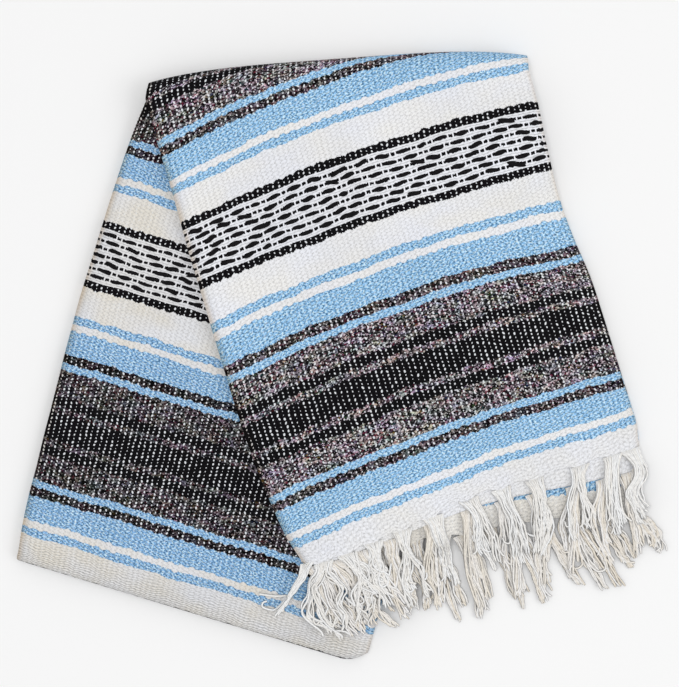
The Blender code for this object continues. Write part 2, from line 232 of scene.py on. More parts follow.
def raised(place, height):
    return np.concatenate([place, np.broadcast_to(height, place.shape[:-1])[..., None]], axis=-1)


EDGE_REACH = 11.0
EDGE_DROP = 0.42


def edge_height(u):
    """The share of a leg's height that is left near its edges, where its layers bend down."""
    from_edge = np.minimum(u, 1 - u) * STRIP_WIDTH
    return 1 - EDGE_DROP * np.clip(1 - from_edge / EDGE_REACH, 0, 1) ** 2


def rise(place, drop):
    """Height of what carries the front leg: the back leg, then the floor beside it."""
    beyond = (place - BACK_CORNER) @ BACK_ACROSS - STRIP_WIDTH
    return LEG_RISE * (1 - smooth((beyond - DROP_START) / drop))


def on_front(place, u, height):
    """A place on the front leg, at a height above what carries it."""
    base = rise(place, CLOTH_DROP) - SEAM / 2
    return raised(place, np.maximum(base + (height + SEAM / 2) * edge_height(u), 0.0))


def fold_outward(u):
    lean = mix(FOLD_LEAN[0], FOLD_LEAN[1], u)
    direction = np.stack([lean, np.ones_like(lean)], axis=-1)
    return direction / np.linalg.norm(direction, axis=-1, keepdims=True)


def fold_centre(u):
    bulge = FOLD_BULGE * (1 - (2 * u - 1) ** 4)
    return mix(FOLD_LEFT, FOLD_RIGHT, u[..., None]) + bulge[..., None] * fold_outward(u)


def fold_form(u, turn, depth):
    """The roll of the top fold, turned from its top round its outer side to its underside."""
    radius = FOLD_RADIUS - depth
    place = fold_centre(u) + fold_outward(u) * (radius * np.sin(turn))[..., None]
    flattened = np.where(turn < pi / 2, edge_height(u), 1.0)
    return raised(place, FOLD_RADIUS + flattened * radius * np.cos(turn))


def hem_along(hem, u):
    return through(HEM_ROWS, HEM_COLUMN[hem], u)


def hem_place(hem, u):
    return spot(mix(HEM_LEFT, HEM_RIGHT[hem], u), hem_along(hem, u),
                (FRONT_ACROSS, FRONT_ALONG), FRONT_CORNER)


CREASE_AT = 0.485
CREASE_HEIGHT = 3.4
CREASE_REACH_LEFT = 11.0
CREASE_REACH_RIGHT = 17.0
CREASE_ROUNDING = 2.5
# Slow waves: size, how fast each runs across and along, and where it starts.
SWELL_WAVES = ((0.5, 7.0, 9.0, 0.0), (0.4, 15.0, -12.0, 1.0))
RIPPLE_WAVES = ((0.5, 9.0, 46.0, 0.0),)
SWELL = 0.9
RIPPLES_FROM = 0.72


def waves(rows, u, along):
    """The sum of a table's waves, at a share across the strip and a way along it."""
    return sum(size * np.sin(across * u + way * along + start) for size, across, way, start in rows)


def front_swell(u, share):
    """How much the top of the front leg swells: a soft lengthwise crease and slow waves."""
    off_crease = np.sqrt(((u - CREASE_AT) * STRIP_WIDTH) ** 2 + CREASE_ROUNDING ** 2)
    reach = np.where(u < CREASE_AT, CREASE_REACH_LEFT, CREASE_REACH_RIGHT)
    crease = CREASE_HEIGHT * np.exp(-(off_crease - CREASE_ROUNDING) / reach)
    ripples = waves(RIPPLE_WAVES, u, share) * smooth((u - RIPPLES_FROM) / 0.2)
    fade = smooth(share / 0.1) * smooth((1 - share) / 0.15)
    swell = SWELL + waves(SWELL_WAVES, u, share) + ripples
    return crease * smooth((1 - share) / 0.2) + swell * fade


def front_form(u, share, depth):
    """The front leg, from the top hem to the top fold."""
    left = through(EDGE_ROWS, 1, share)
    right = through(EDGE_ROWS, 2, share)
    place = mix(hem_place("top", u), fold_centre(u), share[..., None])
    place = place + mix(-left, right, u)[..., None] * FRONT_ACROSS
    swell = front_swell(u, share) * (1 - depth / STACK)
    return on_front(place, u, STACK - depth + swell)


def bottom_centre(u):
    """The middle of the bottom fold, which turns up at its right end."""
    ends = [spot(np.array(across), np.array(along), (BACK_ACROSS, BACK_ALONG), BACK_CORNER)
            for across, along in (BOTTOM_LEFT, BOTTOM_RIGHT)]
    lift = BOTTOM_LIFT * np.clip((u - 0.93) / 0.07, 0, 1) ** 2
    return mix(ends[0], ends[1], u[..., None]) + lift[..., None] * BACK_ALONG


def back_form(u, share, depth):
    """The back leg, from the bottom fold to the top fold."""
    left = through(EDGE_ROWS, 3, share)
    place = mix(bottom_centre(u), fold_centre(u), share[..., None])
    place = place - (left * (1 - u))[..., None] * BACK_ACROSS
    return raised(place, depth * mix(1.0, edge_height(u), smooth((1 - share) / 0.15)))


def fold_rise(u):
    """How far up the front leg the roll begins, measured along the stripes' lean."""
    offset = fold_centre(u) - FRONT_CORNER
    return offset @ FRONT_ALONG - STRIPE_LEAN * (offset @ FRONT_ACROSS)


def hem_rise(u):
    return hem_along("top", u) - STRIPE_LEAN * mix(HEM_LEFT, HEM_RIGHT["top"], u)


def stripe_rise(u, cloth):
    """How far up the front leg the cloth lies that is so far from the hem."""
    rows = [through(STRIPE_ROWS, column, cloth) for column in (1, 2, 3)]
    firsts = [through(STRIPE_ROWS, column, np.zeros_like(cloth)) for column in (1, 2, 3)]
    at_cloth = 0.0
    at_hem = 0.0
    for index, place in enumerate(STRIPE_PLACES):
        weight = 1.0
        for other in STRIPE_PLACES[:index] + STRIPE_PLACES[index + 1:]:
            weight = weight * (u - other) / (place - other)
        at_cloth = at_cloth + weight * rows[index]
        at_hem = at_hem + weight * firsts[index]
    return at_cloth + (hem_rise(u) - at_hem) * (1 - smooth(cloth / STRIPE_ROWS[0][0]))


def outer_form(u, cloth, depth):
    """The outer layer at a distance along the cloth from its hem."""
    climbed = stripe_rise(u, cloth)
    over = climbed - fold_rise(u)
    share = (climbed - hem_rise(u)) / (fold_rise(u) - hem_rise(u))
    flat = front_form(u, np.minimum(share, 1.0), depth)
    turn = np.clip(over / FOLD_RADIUS, 0, pi)
    roll = fold_form(u, turn, depth)
    length = np.linalg.norm(fold_centre(u) - bottom_centre(u), axis=-1)
    under = back_form(u, 1 - (over - pi * FOLD_RADIUS) / length, depth)
    return np.where((over < 0)[..., None], flat, np.where((turn < pi)[..., None], roll, under))


def facing(points):
    """The direction in which each point of a grid of points faces."""
    along = np.gradient(points, axis=0)
    across = np.gradient(points, axis=1)
    normal = np.cross(across, along)
    return normal / np.maximum(np.linalg.norm(normal, axis=-1, keepdims=True), 1e-9)


def weave_relief(u, cloth):
    """The yarns' own relief: a hump where the weft passes over a warp yarn, a dip beside it."""
    warp = u * WARPS - 0.5
    pick = cloth / PICK_PITCH
    on_warp = np.cos(pi * (warp - np.round(warp)))
    over = np.where((np.round(warp) + np.round(pick)) % 2 < 0.5, 1.0, -1.0)
    return WEAVE_RELIEF * on_warp * over * np.abs(np.cos(pi * (pick - np.round(pick))))


WANDER_WAVES = ((0.5, 14.5, 1 / 30.0, 1.1), (0.4, 32.0, -1 / 12.3, 0.0), (0.25, 69.0, 1 / 6.5, 2.0))


def wander(u, cloth):
    """How far the picks wander from straight lines, since no weaver beats them in evenly."""
    return smooth(cloth / 12.0) * waves(WANDER_WAVES, u, cloth)


# The selvedges: columns that turn down round a layer's edge, outwards and in depth.
SELVEDGE = ((0.30, 0.95), (0.45, 0.55), (0.3, 0.2))


def cloth_columns():
    """Shares across the strip, with the selvedges' extra columns: share, outwards, depth."""
    inside = [(place / (2 * WARPS), 0.0, 0.0) for place in range(2 * WARPS + 1)]
    left = [(0.0, -out, depth) for out, depth in SELVEDGE]
    right = [(1.0, out, depth) for out, depth in reversed(SELVEDGE)]
    return np.array(left + inside + right)


COARSE_STEP = 8


def closed_sheet(name, face, back, u, cloth, row_stops):
    """A layer of cloth as one closed shell: a fine face, an edge all round and a coarse back."""
    rows, columns = face.shape[:2]
    flat = np.stack([u * STRIP_WIDTH, cloth], axis=-1)
    order = np.arange(rows * columns).reshape(rows, columns)
    quads = np.stack([order[:-1, :-1], order[:-1, 1:], order[1:, 1:], order[1:, :-1]], axis=-1)
    faces = quads.reshape(-1, 4).tolist()
    row_stops = sorted(set(row_stops) | {0, rows - 1})
    column_stops = sorted(set(range(0, columns, COARSE_STEP)) | {columns - 1})
    kept = np.zeros((rows, columns), bool)
    kept[np.ix_(row_stops, column_stops)] = True
    kept[[0, -1], :] = True
    kept[:, [0, -1]] = True
    under = np.full((rows, columns), -1)
    under[kept] = rows * columns + np.arange(kept.sum())
    for low, high in zip(row_stops, row_stops[1:]):
        for near, far in zip(column_stops, column_stops[1:]):
            walk = [(row, near) for row in range(low, high)]
            walk += [(high, column) for column in range(near, far)]
            walk += [(row, far) for row in range(high, low, -1)]
            walk += [(low, column) for column in range(far, near, -1)]
            faces.append([int(under[place]) for place in walk if under[place] >= 0])
    rims = ((order[0, ::-1], under[0, ::-1]), (order[-1], under[-1]),
            (order[:, 0], under[:, 0]), (order[::-1, -1], under[::-1, -1]))
    for rim, below in rims:
        faces += np.stack([rim[:-1], rim[1:], below[1:], below[:-1]], axis=-1).tolist()
    points = np.concatenate([face.reshape(-1, 3), back[kept]])
    return cloth_mesh(name, points, faces, np.concatenate([flat.reshape(-1, 2), flat[kept]]))


def in_metres(points):
    """Points in metres from the middle of the folded blanket, as a mesh takes them."""
    return ((points - np.array((*MIDDLE, 0.0))) * MM).tolist()


def cloth_mesh(name, points, faces, cloth):
    """A mesh in metres, with its place on the flat cloth as its UV map, in metres too."""
    mesh = bpy.data.meshes.new(name)
    mesh.from_pydata(in_metres(points), [], faces)
    corners = np.empty(len(mesh.loops), dtype=np.int32)
    mesh.loops.foreach_get("vertex_index", corners)
    layer = mesh.uv_layers.new(name="cloth")
    layer.uv.foreach_set("vector", (cloth[corners] * MM).ravel())
    mesh.shade_smooth()
    mesh.set_sharp_from_angle(angle=radians(50))
    return mesh


def add_piece(name, mesh):
    piece = bpy.data.objects.new(name, mesh)
    scene.collection.objects.link(piece)
    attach(piece, "root")
    return piece


class Term:
    """What a node puts out. Plain arithmetic on it adds Math nodes to its tree."""

    def __init__(self, tree, socket):
        self.tree, self.socket = tree, socket

    def __add__(self, other):
        return math("ADD", self, other)

    def __sub__(self, other):
        return math("SUBTRACT", self, other)

    def __rsub__(self, other):
        return math("SUBTRACT", other, self)

    def __mul__(self, other):
        return math("MULTIPLY", self, other)

    def __truediv__(self, other):
        return math("DIVIDE", self, other)

    def __pow__(self, other):
        return math("POWER", self, other)

    def __gt__(self, other):
        return math("GREATER_THAN", self, other)

    def __lt__(self, other):
        return math("LESS_THAN", self, other)

    def __abs__(self):
        return math("ABSOLUTE", self)


def connect(value, socket):
    """Feed a node's input with what another node puts out, or with a plain value."""
    if isinstance(value, Term):
        value.tree.links.new(value.socket, socket)
    else:
        socket.default_value = value


def fed_node(kind, *values, **settings):
    """A node in the tree of the values that it is fed with, which fill its first inputs."""
    tree = next(value.tree for value in values if isinstance(value, Term))
    node = tree.nodes.new(kind)
    for name, setting in settings.items():
        setattr(node, name, setting)
    for value, socket in zip(values, node.inputs):
        connect(value, socket)
    return [Term(tree, socket) for socket in node.outputs]


def math(operation, *values):
    return fed_node("ShaderNodeMath", *values, operation=operation)[0]


def scaled(vector, scale, shift=(0.0, 0.0, 0.0)):
    return fed_node("ShaderNodeVectorMath", vector, scale, shift, operation="MULTIPLY_ADD")[0]


def joined(x, y, z=0.0):
    return fed_node("ShaderNodeCombineXYZ", x, y, z)[0]


def parts(vector):
    return fed_node("ShaderNodeSeparateXYZ", vector)


def ranged(value, low, high, new_low=0.0, new_high=1.0):
    return fed_node("ShaderNodeMapRange", value, low, high, new_low, new_high)[0]


def blend(share, start, end, kind="MIX"):
    """Mix two colours by a share."""
    tree = next(value.tree for value in (share, start, end) if isinstance(value, Term))
    node = tree.nodes.new("ShaderNodeMix")
    node.data_type = "RGBA"
    node.blend_type = kind
    for name, value in (("Factor", share), ("A", start), ("B", end)):
        connect(value, node.inputs[name])
    return Term(tree, node.outputs["Result"])


def shaded(colour, light):
    """A colour times a share of light."""
    return blend(1.0, colour, joined(light, light, light), "MULTIPLY")


def texture(kind, vector, **inputs):
    """A texture's value or distance, and its colour."""
    node = vector.tree.nodes.new(f"ShaderNodeTex{kind}")
    for name, value in {"Vector": vector, **inputs}.items():
        connect(value, node.inputs[name])
    return Term(vector.tree, node.outputs[0]), Term(vector.tree, node.outputs["Color"])


def stepped(value, stops, between="CONSTANT"):
    """A ramp that jumps from one colour to the next, or shades between them."""
    node = value.tree.nodes.new("ShaderNodeValToRGB")
    ramp = node.color_ramp
    ramp.interpolation = between
    while len(ramp.elements) < len(stops):
        ramp.elements.new(1.0)
    for element, (place, colour) in zip(ramp.elements, stops):
        element.position = place
        element.color = colour if isinstance(colour, tuple) else (colour, colour, colour, 1.0)
    connect(value, node.inputs["Fac"])
    return Term(value.tree, node.outputs["Color"])


def dye(red, green, blue):
    """A colour given on the scale from 0 to 255 of a colour card, as light."""
    card = np.array((red, green, blue)) / 255
    light = np.where(card <= 0.04045, card / 12.92, ((card + 0.055) / 1.055) ** 2.4)
    return (*(float(value) for value in light), 1.0)


def new_group(name, inputs, outputs):
    """A shader node group with what it is given, by name, and the node that takes its results."""
    group = bpy.data.node_groups.new(name, "ShaderNodeTree")
    for socket, kind in inputs.items():
        group.interface.new_socket(socket, in_out="INPUT", socket_type=f"NodeSocket{kind}")
    for socket, kind in outputs.items():
        group.interface.new_socket(socket, in_out="OUTPUT", socket_type=f"NodeSocket{kind}")
    entry = group.nodes.new("NodeGroupInput")
    given = {socket: Term(group, entry.outputs[socket]) for socket in inputs}
    return group, given, group.nodes.new("NodeGroupOutput").inputs


# How far a pick and a warp yarn waver, as the scales of their noise across and along the cloth.
WARP_WAVER = (310.0, 500.0, 1.0)
PICK_WAVER = (260.0, 420.0, 1.0)
FIBRE_WAVER = (900.0, 700.0, 1.0)
# A dot's reach, and how far it is moved aside and tilted at most, in shares of a warp pitch.
DOT_LEAST, DOT_MOST = 0.06, 0.195
DOT_SHIFT = 0.16
DOT_TILT = 0.3
DOT_SQUEEZE = 0.27


def build_weave():
    """Which weft float shows at a place on the cloth, in a plain weave with a close weft."""
    group, given, result = new_group(
        "plain weave",
        {"Cloth": "Vector", "Warp Pitch": "Float", "Pick Pitch": "Float", "Wobble": "Float"},
        {"Weft Place": "Float", "Hump": "Float", "Slant": "Float", "Warp Dot": "Float"})
    x, y, _ = parts(given["Cloth"])

    def unevenness(scale):
        value, _ = texture("Noise", scaled(given["Cloth"], scale), Scale=1.0, Detail=1.0)
        return (value - 0.5) * given["Wobble"]

    across = x / given["Warp Pitch"] + unevenness(WARP_WAVER) * 0.4
    picks = y / given["Pick Pitch"] + unevenness(PICK_WAVER)
    warp = math("FLOOR", across)
    off_warp = across - warp - 0.5
    side = math("FLOORED_MODULO", warp, 2.0)
    weft = math("ROUND", (picks - side) / 2.0) * 2.0 + side
    off_weft = picks - weft
    slant = math("COSINE", (picks - (across - 0.5)) * pi)
    connect(slant * 0.5 + 0.5, result["Slant"])

    # A white warp yarn shows as a dot between two floats that pass over it.
    _, dice = texture("WhiteNoise", joined(warp, weft + math("SIGN", off_weft)))
    for_reach, for_shift, for_tilt = parts(dice)
    reach = ranged(for_reach, 0.0, 1.0, DOT_LEAST, DOT_MOST)
    from_end = (1.0 - abs(off_weft)) * math("SIGN", off_weft)
    beside_dot = off_warp + (for_shift - 0.5) * DOT_SHIFT + from_end * ((for_tilt - 0.5) * DOT_TILT)
    to_dot = math("SQRT", beside_dot ** 2.0 + (from_end * DOT_SQUEEZE) ** 2.0)
    connect(ranged(to_dot / reach, 1.1, 0.84), result["Warp Dot"])

    # Floats are pointed, so near a corner the float on the next warp shows instead.
    turned = abs(off_weft) + abs(off_warp) * 2.0 > 1.5
    to_side = turned * math("SIGN", off_warp)
    to_end = turned * math("SIGN", off_weft)
    aside, apart = abs(off_warp - to_side), abs(off_weft - to_end)
    warp, weft = warp + to_side, weft + to_end
    edge = math("MAXIMUM", apart, (apart + aside * 2.0) * 0.54)
    connect(1.0 - edge ** 2.5 - (aside * 2.0) ** 4.0 * 0.25, result["Hump"])
    chance, _ = texture("WhiteNoise", joined(warp, weft, 7.0))
    place = weft * 0.4 + picks * 0.6 + (chance - 0.5) * 0.6 + unevenness(FIBRE_WAVER) * 3.0
    connect(place * given["Pick Pitch"], result["Weft Place"])
    return group


# The stripes repeat mirrored between the middle of a dark band and the middle of a patterned
# one. Each row is where a stripe ends, from the dark band's middle, and its yarn.
HALF_REPEAT = 166.5
DARK_MIDDLE = 120.4
BAND_START = 141.5
STRIPES = (
    (12.0, "black"),
    (18.3, "heather"),
    (27.0, "black"),
    (52.8, "heather"),
    (59.8, "blue"),
    (67.9, "dark heather"),
    (91.0, "blue"),
    (97.5, "white"),
    (105.0, "blue"),
    (133.8, "white"),
    (BAND_START, "black"),
    (HALF_REPEAT, "white"),
)
HEATHERS = {"heather": 1.0, "dark heather": 0.5}
# The float bands: seven rows in which the black weft floats over two warp yarns and passes
# under two. The floats step one warp yarn aside from row to row, mirrored about an axis.
FLOAT_ROW_PITCH = 6.65
FLOAT_AXIS = 13.5
FLOAT_REPEAT = 16.0
FLOAT_HALF_LENGTH = 1.35
FLOAT_HALF_HEIGHT = 1.65


def stripe_stops(value_of):
    """Stops of a stepped ramp that gives each stripe's value along half a repeat."""
    starts = [0.0] + [end for end, _ in STRIPES[:-1]]
    return [(start / HALF_REPEAT, value_of(yarn)) for start, (_, yarn) in zip(starts, STRIPES)]


# The yarns' other dyes: the dark and pale fibres in them and a warp yarn that comes up, and
# the painted shade between the picks of the float bands.
BLACK_YARN = dye(15, 14, 17)
WORN_BLACK = dye(56, 54, 58)
GREYED_WHITE = dye(196, 194, 192)
PALE_BLUE = dye(216, 244, 255)
DEEP_BLUE = dye(74, 120, 162)
WARP_WHITE = dye(246, 249, 253)
PAINTED_SHADE_BETWEEN_PICKS = dye(150, 148, 146)
FIBRE_SCALE = (560.0, 860.0, 1.0)
# Each tone and hue is where it starts on its ramp, and its dye.
HEATHER_TONES = (
    (0.0, dye(8, 7, 8)), (0.38, dye(20, 18, 20)), (0.58, dye(78, 74, 78)),
    (0.77, dye(172, 166, 171)), (1.0, dye(255, 252, 255)),
)
HEATHER_HUES = (
    (0.0, dye(176, 62, 96)), (0.2, dye(190, 112, 140)), (0.34, dye(122, 34, 44)),
    (0.5, dye(48, 112, 110)), (0.6, dye(70, 110, 64)), (0.7, dye(62, 80, 140)),
    (0.8, dye(182, 152, 82)), (0.88, dye(112, 68, 120)),
)
TINT_SPREAD = (0.95, 0.6, 0.9)
TINT_LEAST = (0.54, 0.66, 0.54)
# The rims, partly the cream of the outermost warp yarns and partly painted shade where the
# edge turns down, more on the left: where each starts and ends, from its edge, and its strength.
CREAM_AND_SHADE_EDGE = (0.74, 0.6, 0.44, 1.0)
LEFT_RIM = (1.0, 5.0, 0.58)
RIGHT_RIM = (1.0, 4.0, 0.28)
# How much painted shade darkens the colour between floats and on their slants, in white
# and in dyed yarn.
PAINTED_HOLLOW_SHADE = (0.185, 0.43)
PAINTED_SLANT_SHADE = (0.05, 0.15)
# Painted shade in the furrows between picks: their pitch and bend, and its strength near the hem and
# round the bottom fold, where the weave opens.
RIB_PITCH = 2.1
RIB_BEND = 22.0
PAINTED_RIB_SHADE_NEAR_HEM = 0.1
PAINTED_RIB_SHADE_OPENED = 0.38
NEAR_HEM = (18.0, 12.0)
OPENED = (884.0, 912.0)


def build_stripes():
    """The yarns' colours by their place along the cloth, and the ground of the float bands."""
    group, given, result = new_group(
        "falsa stripes",
        {"Cloth": "Vector", "Weft Place": "Float", "Hump": "Float", "Slant": "Float",
         "Warp Dot": "Float", "Warp Pitch": "Float", "White": "Color", "Cream": "Color",
         "Blue": "Color", "Heather": "Color"},
        {"Colour": "Color"})
    cloth = given["Cloth"]
    x, y, _ = parts(cloth)
    # Fibres lie aslant in the yarn, because it is spun with a twist.
    lean = joined(x + y * 0.6, y - x * 0.5)

    def from_dark(distance):
        return math("PINGPONG", distance - DARK_MIDDLE * MM, HALF_REPEAT * MM)

    def noise(across, along, detail=2.0, roughness=0.6, vector=cloth):
        return texture("Noise", scaled(vector, (across, along, 1.0)),
                       Scale=1.0, Detail=detail, Roughness=roughness)[0]

    along = from_dark(given["Weft Place"]) / (HALF_REPEAT * MM)
    is_blue = stepped(along, stripe_stops(lambda yarn: float(yarn == "blue")))
    is_black = stepped(along, stripe_stops(lambda yarn: float(yarn == "black")))
    heather = stepped(along, stripe_stops(lambda yarn: HEATHERS.get(yarn, 0.0)))
    is_heather = heather > 0.1
    dark = math("MAXIMUM", is_black, is_heather)

    slub = noise(380.0, 900.0, roughness=0.7, vector=lean)
    white = blend(ranged(noise(16.0, 24.0), 0.35, 0.65), given["White"], given["Cream"])
    white = blend(ranged(slub, 0.48, 0.62, 0.0, 0.5), white, GREYED_WHITE)
    speck = noise(480.0, 820.0, 1.0) + (slub - 0.5) * 0.5
    blue = blend(ranged(speck, 0.52, 0.64), given["Blue"], PALE_BLUE)
    blue = blend(ranged(speck, 0.47, 0.34, 0.0, 0.9), blue, DEEP_BLUE)
    black = blend(ranged(slub, 0.5, 0.85, 0.0, 0.5), BLACK_YARN, WORN_BLACK)

    # Heather yarn is spun from waste of all colours: short black, grey and pale fibres, a few
    # of them bright.
    _, fibre = texture("Voronoi", scaled(cloth, FIBRE_SCALE), Scale=1.0, Randomness=1.0)
    for_tone, for_hue, for_bright = parts(fibre)
    tone = for_tone * 0.8 + noise(900.0, 1500.0) * 0.4 - 0.1
    is_bright = for_bright > ranged(noise(60.0, 120.0, 1.0), 0.3, 0.7, 0.97, 0.78)
    grey = blend(is_bright * 0.3, stepped(tone, HEATHER_TONES, "LINEAR"), stepped(for_hue, HEATHER_HUES))
    _, cloud = texture("Noise", scaled(cloth, (65.0, 120.0, 1.0)), Scale=1.0, Detail=1.0)
    grey = blend(1.0, grey, scaled(cloud, TINT_SPREAD, TINT_LEAST), "MULTIPLY")
    # The finish's Heather share darkens all heather yarn: on the back leg it is painted shade.
    grey = shaded(blend(1.0, grey, given["Heather"], "MULTIPLY"), heather)

    colour = blend(is_black, blend(is_heather, blend(is_blue, white, blue), grey), black)
    dot_strength = ranged(dark, 0.0, 1.0, 0.3, 0.95)
    colour = blend(given["Warp Dot"] * dot_strength, colour, WARP_WHITE)

    # The ground of the float bands is white, and the black picks come out of it. A white warp
    # yarn crosses them wherever they pass under.
    level = from_dark(y) / MM
    from_middle = HALF_REPEAT - level
    row = math("MINIMUM", math("ROUND", from_middle / FLOAT_ROW_PITCH), 3.0)
    off_row = abs(from_middle - row * FLOAT_ROW_PITCH)
    across = x / given["Warp Pitch"]
    fold = math("PINGPONG", across - FLOAT_AXIS, FLOAT_REPEAT)
    off_float = math("FLOORED_MODULO", fold - row + 1.5, 4.0) - 2.0
    from_pick = off_row + ranged(noise(520.0, 620.0, 1.0), 0.3, 0.7, -0.5, 0.5)
    taper = 1.0 - abs(off_float / FLOAT_HALF_LENGTH) ** 4.0
    in_lens = from_pick < taper * FLOAT_HALF_HEIGHT
    thin_pick = (from_pick < 1.3) * (abs(math("FRACT", across) - 0.5) > 0.13)
    # Painted shade darkens the white ground in the furrow between two rows of picks.
    painted_furrow_shade = ranged(abs(off_row - FLOAT_ROW_PITCH / 2), 0.45, 0.1, 0.0, 0.5)
    ground = blend(painted_furrow_shade, blend(0.7, white, given["White"]), PAINTED_SHADE_BETWEEN_PICKS)
    in_band = level > BAND_START
    colour = blend(in_band, colour, blend(math("MAXIMUM", in_lens, thin_pick), ground, black))
    colour = shaded(colour, ranged(noise(9.0, 14.0, 1.0, vector=lean), 0.35, 0.65, 0.975, 1.025))

    # The weft turns back round thicker, creamy outermost warp yarns. The rims also carry painted
    # shade where the edges turn down, more of it on the left edge than on the right.
    start, end, strength = LEFT_RIM
    rim = ranged(x, start * MM, end * MM, strength, 0.0)
    start, end, strength = RIGHT_RIM
    rim += ranged(x, (STRIP_WIDTH - start) * MM, (STRIP_WIDTH - end) * MM, strength, 0.0)
    colour = blend(1.0, colour, blend(rim, (1.0, 1.0, 1.0, 1.0), CREAM_AND_SHADE_EDGE), "MULTIPLY")

    # Painted shade: the colour is darkened between the floats, less in white yarn, and along
    # slanting lines through the floats, for the side of each that faces away from the light. Near
    # the hem the weft is beaten in less closely, and round the bottom fold it opens: there painted
    # shade in the furrows between its picks shows instead, most round the fold.
    dyed = math("MAXIMUM", is_blue, dark) * (1.0 - in_band)
    near_hem = ranged(y, NEAR_HEM[0] * MM, NEAR_HEM[1] * MM)
    opened = ranged(y, OPENED[0] * MM, OPENED[1] * MM)
    painted_rib_shade = math("SINE", y * (2 * pi / (RIB_PITCH * MM)) + noise(70.0, 50.0, 1.0) * RIB_BEND)
    painted_rib_shade = ranged(painted_rib_shade, 0.1, -0.8) * (near_hem * PAINTED_RIB_SHADE_NEAR_HEM + opened * PAINTED_RIB_SHADE_OPENED)
    depth = (ranged(dyed, 0.0, 1.0, *PAINTED_HOLLOW_SHADE) - near_hem * 0.06) * (1.0 - given["Warp Dot"])
    painted_hollow_shade = depth * ranged(given["Hump"], 0.0, 0.7, 1.0, 0.0)
    painted_slant_shade = ranged(dyed, 0.0, 1.0, *PAINTED_SLANT_SHADE) * (1.0 - given["Slant"])
    connect(shaded(colour, 1.0 - painted_hollow_shade - painted_slant_shade - painted_rib_shade), result["Colour"])
    return group


weave_group = build_weave()
stripe_group = build_stripes()
# How unevenly the yarns are beaten in, in shares of a pitch.
WOBBLE = 0.32


def add_bump(shader, height, strength, distance):
    """Raise a finish by a height, so that it catches the light."""
    bump = height.tree.nodes.new("ShaderNodeBump")
    bump.inputs["Strength"].default_value = strength
    bump.inputs["Distance"].default_value = distance
    connect(height, bump.inputs["Height"])
    height.tree.links.new(bump.outputs["Normal"], shader.inputs["Normal"])


def striped_cloth(name, white, cream, blue, heather):
    """Coarse soft cloth: thick loosely spun weft, a little fuzz, no shine."""
    finish, shader = new_finish(name, 0.95)
    shader.inputs["Specular IOR Level"].default_value = 0.08
    tree = finish.node_tree
    place = tree.nodes.new("ShaderNodeUVMap")
    place.uv_map = "cloth"
    cloth = Term(tree, place.outputs["UV"])
    weave, stripes = (tree.nodes.new("ShaderNodeGroup") for _ in range(2))
    weave.node_tree, stripes.node_tree = weave_group, stripe_group
    for node, given in ((weave, {"Pick Pitch": PICK_PITCH * MM, "Wobble": WOBBLE}),
                        (stripes, {"White": white, "Cream": cream, "Blue": blue,
                                   "Heather": (heather, heather, heather, 1.0)})):
        for label, value in {"Cloth": cloth, "Warp Pitch": WARP_PITCH * MM, **given}.items():
            connect(value, node.inputs[label])
    for label in ("Weft Place", "Hump", "Slant", "Warp Dot"):
        tree.links.new(weave.outputs[label], stripes.inputs[label])
    tree.links.new(stripes.outputs["Colour"], shader.inputs["Base Color"])
    fuzz, _ = texture("Noise", scaled(cloth, (900.0, 1900.0, 1.0)), Scale=1.0, Detail=2.0, Roughness=0.7)
    add_bump(shader, Term(tree, weave.outputs["Hump"]) + fuzz * 0.8, 0.5, 0.3 * MM)
    return finish


front_finish = striped_cloth("front cloth", dye(242, 244, 251), dye(244, 243, 241),
                             dye(154, 206, 250), 1.0)

# How far a tassel draws its hem out, how far that reaches into the cloth and along the hem,
# and the share by which the hem is set back between tassels.
HEM_PULL = 3.2
HEM_PULL_REACH = 15.0
TASSEL_HOLD = 7.5
HEM_SET_BACK = 0.25
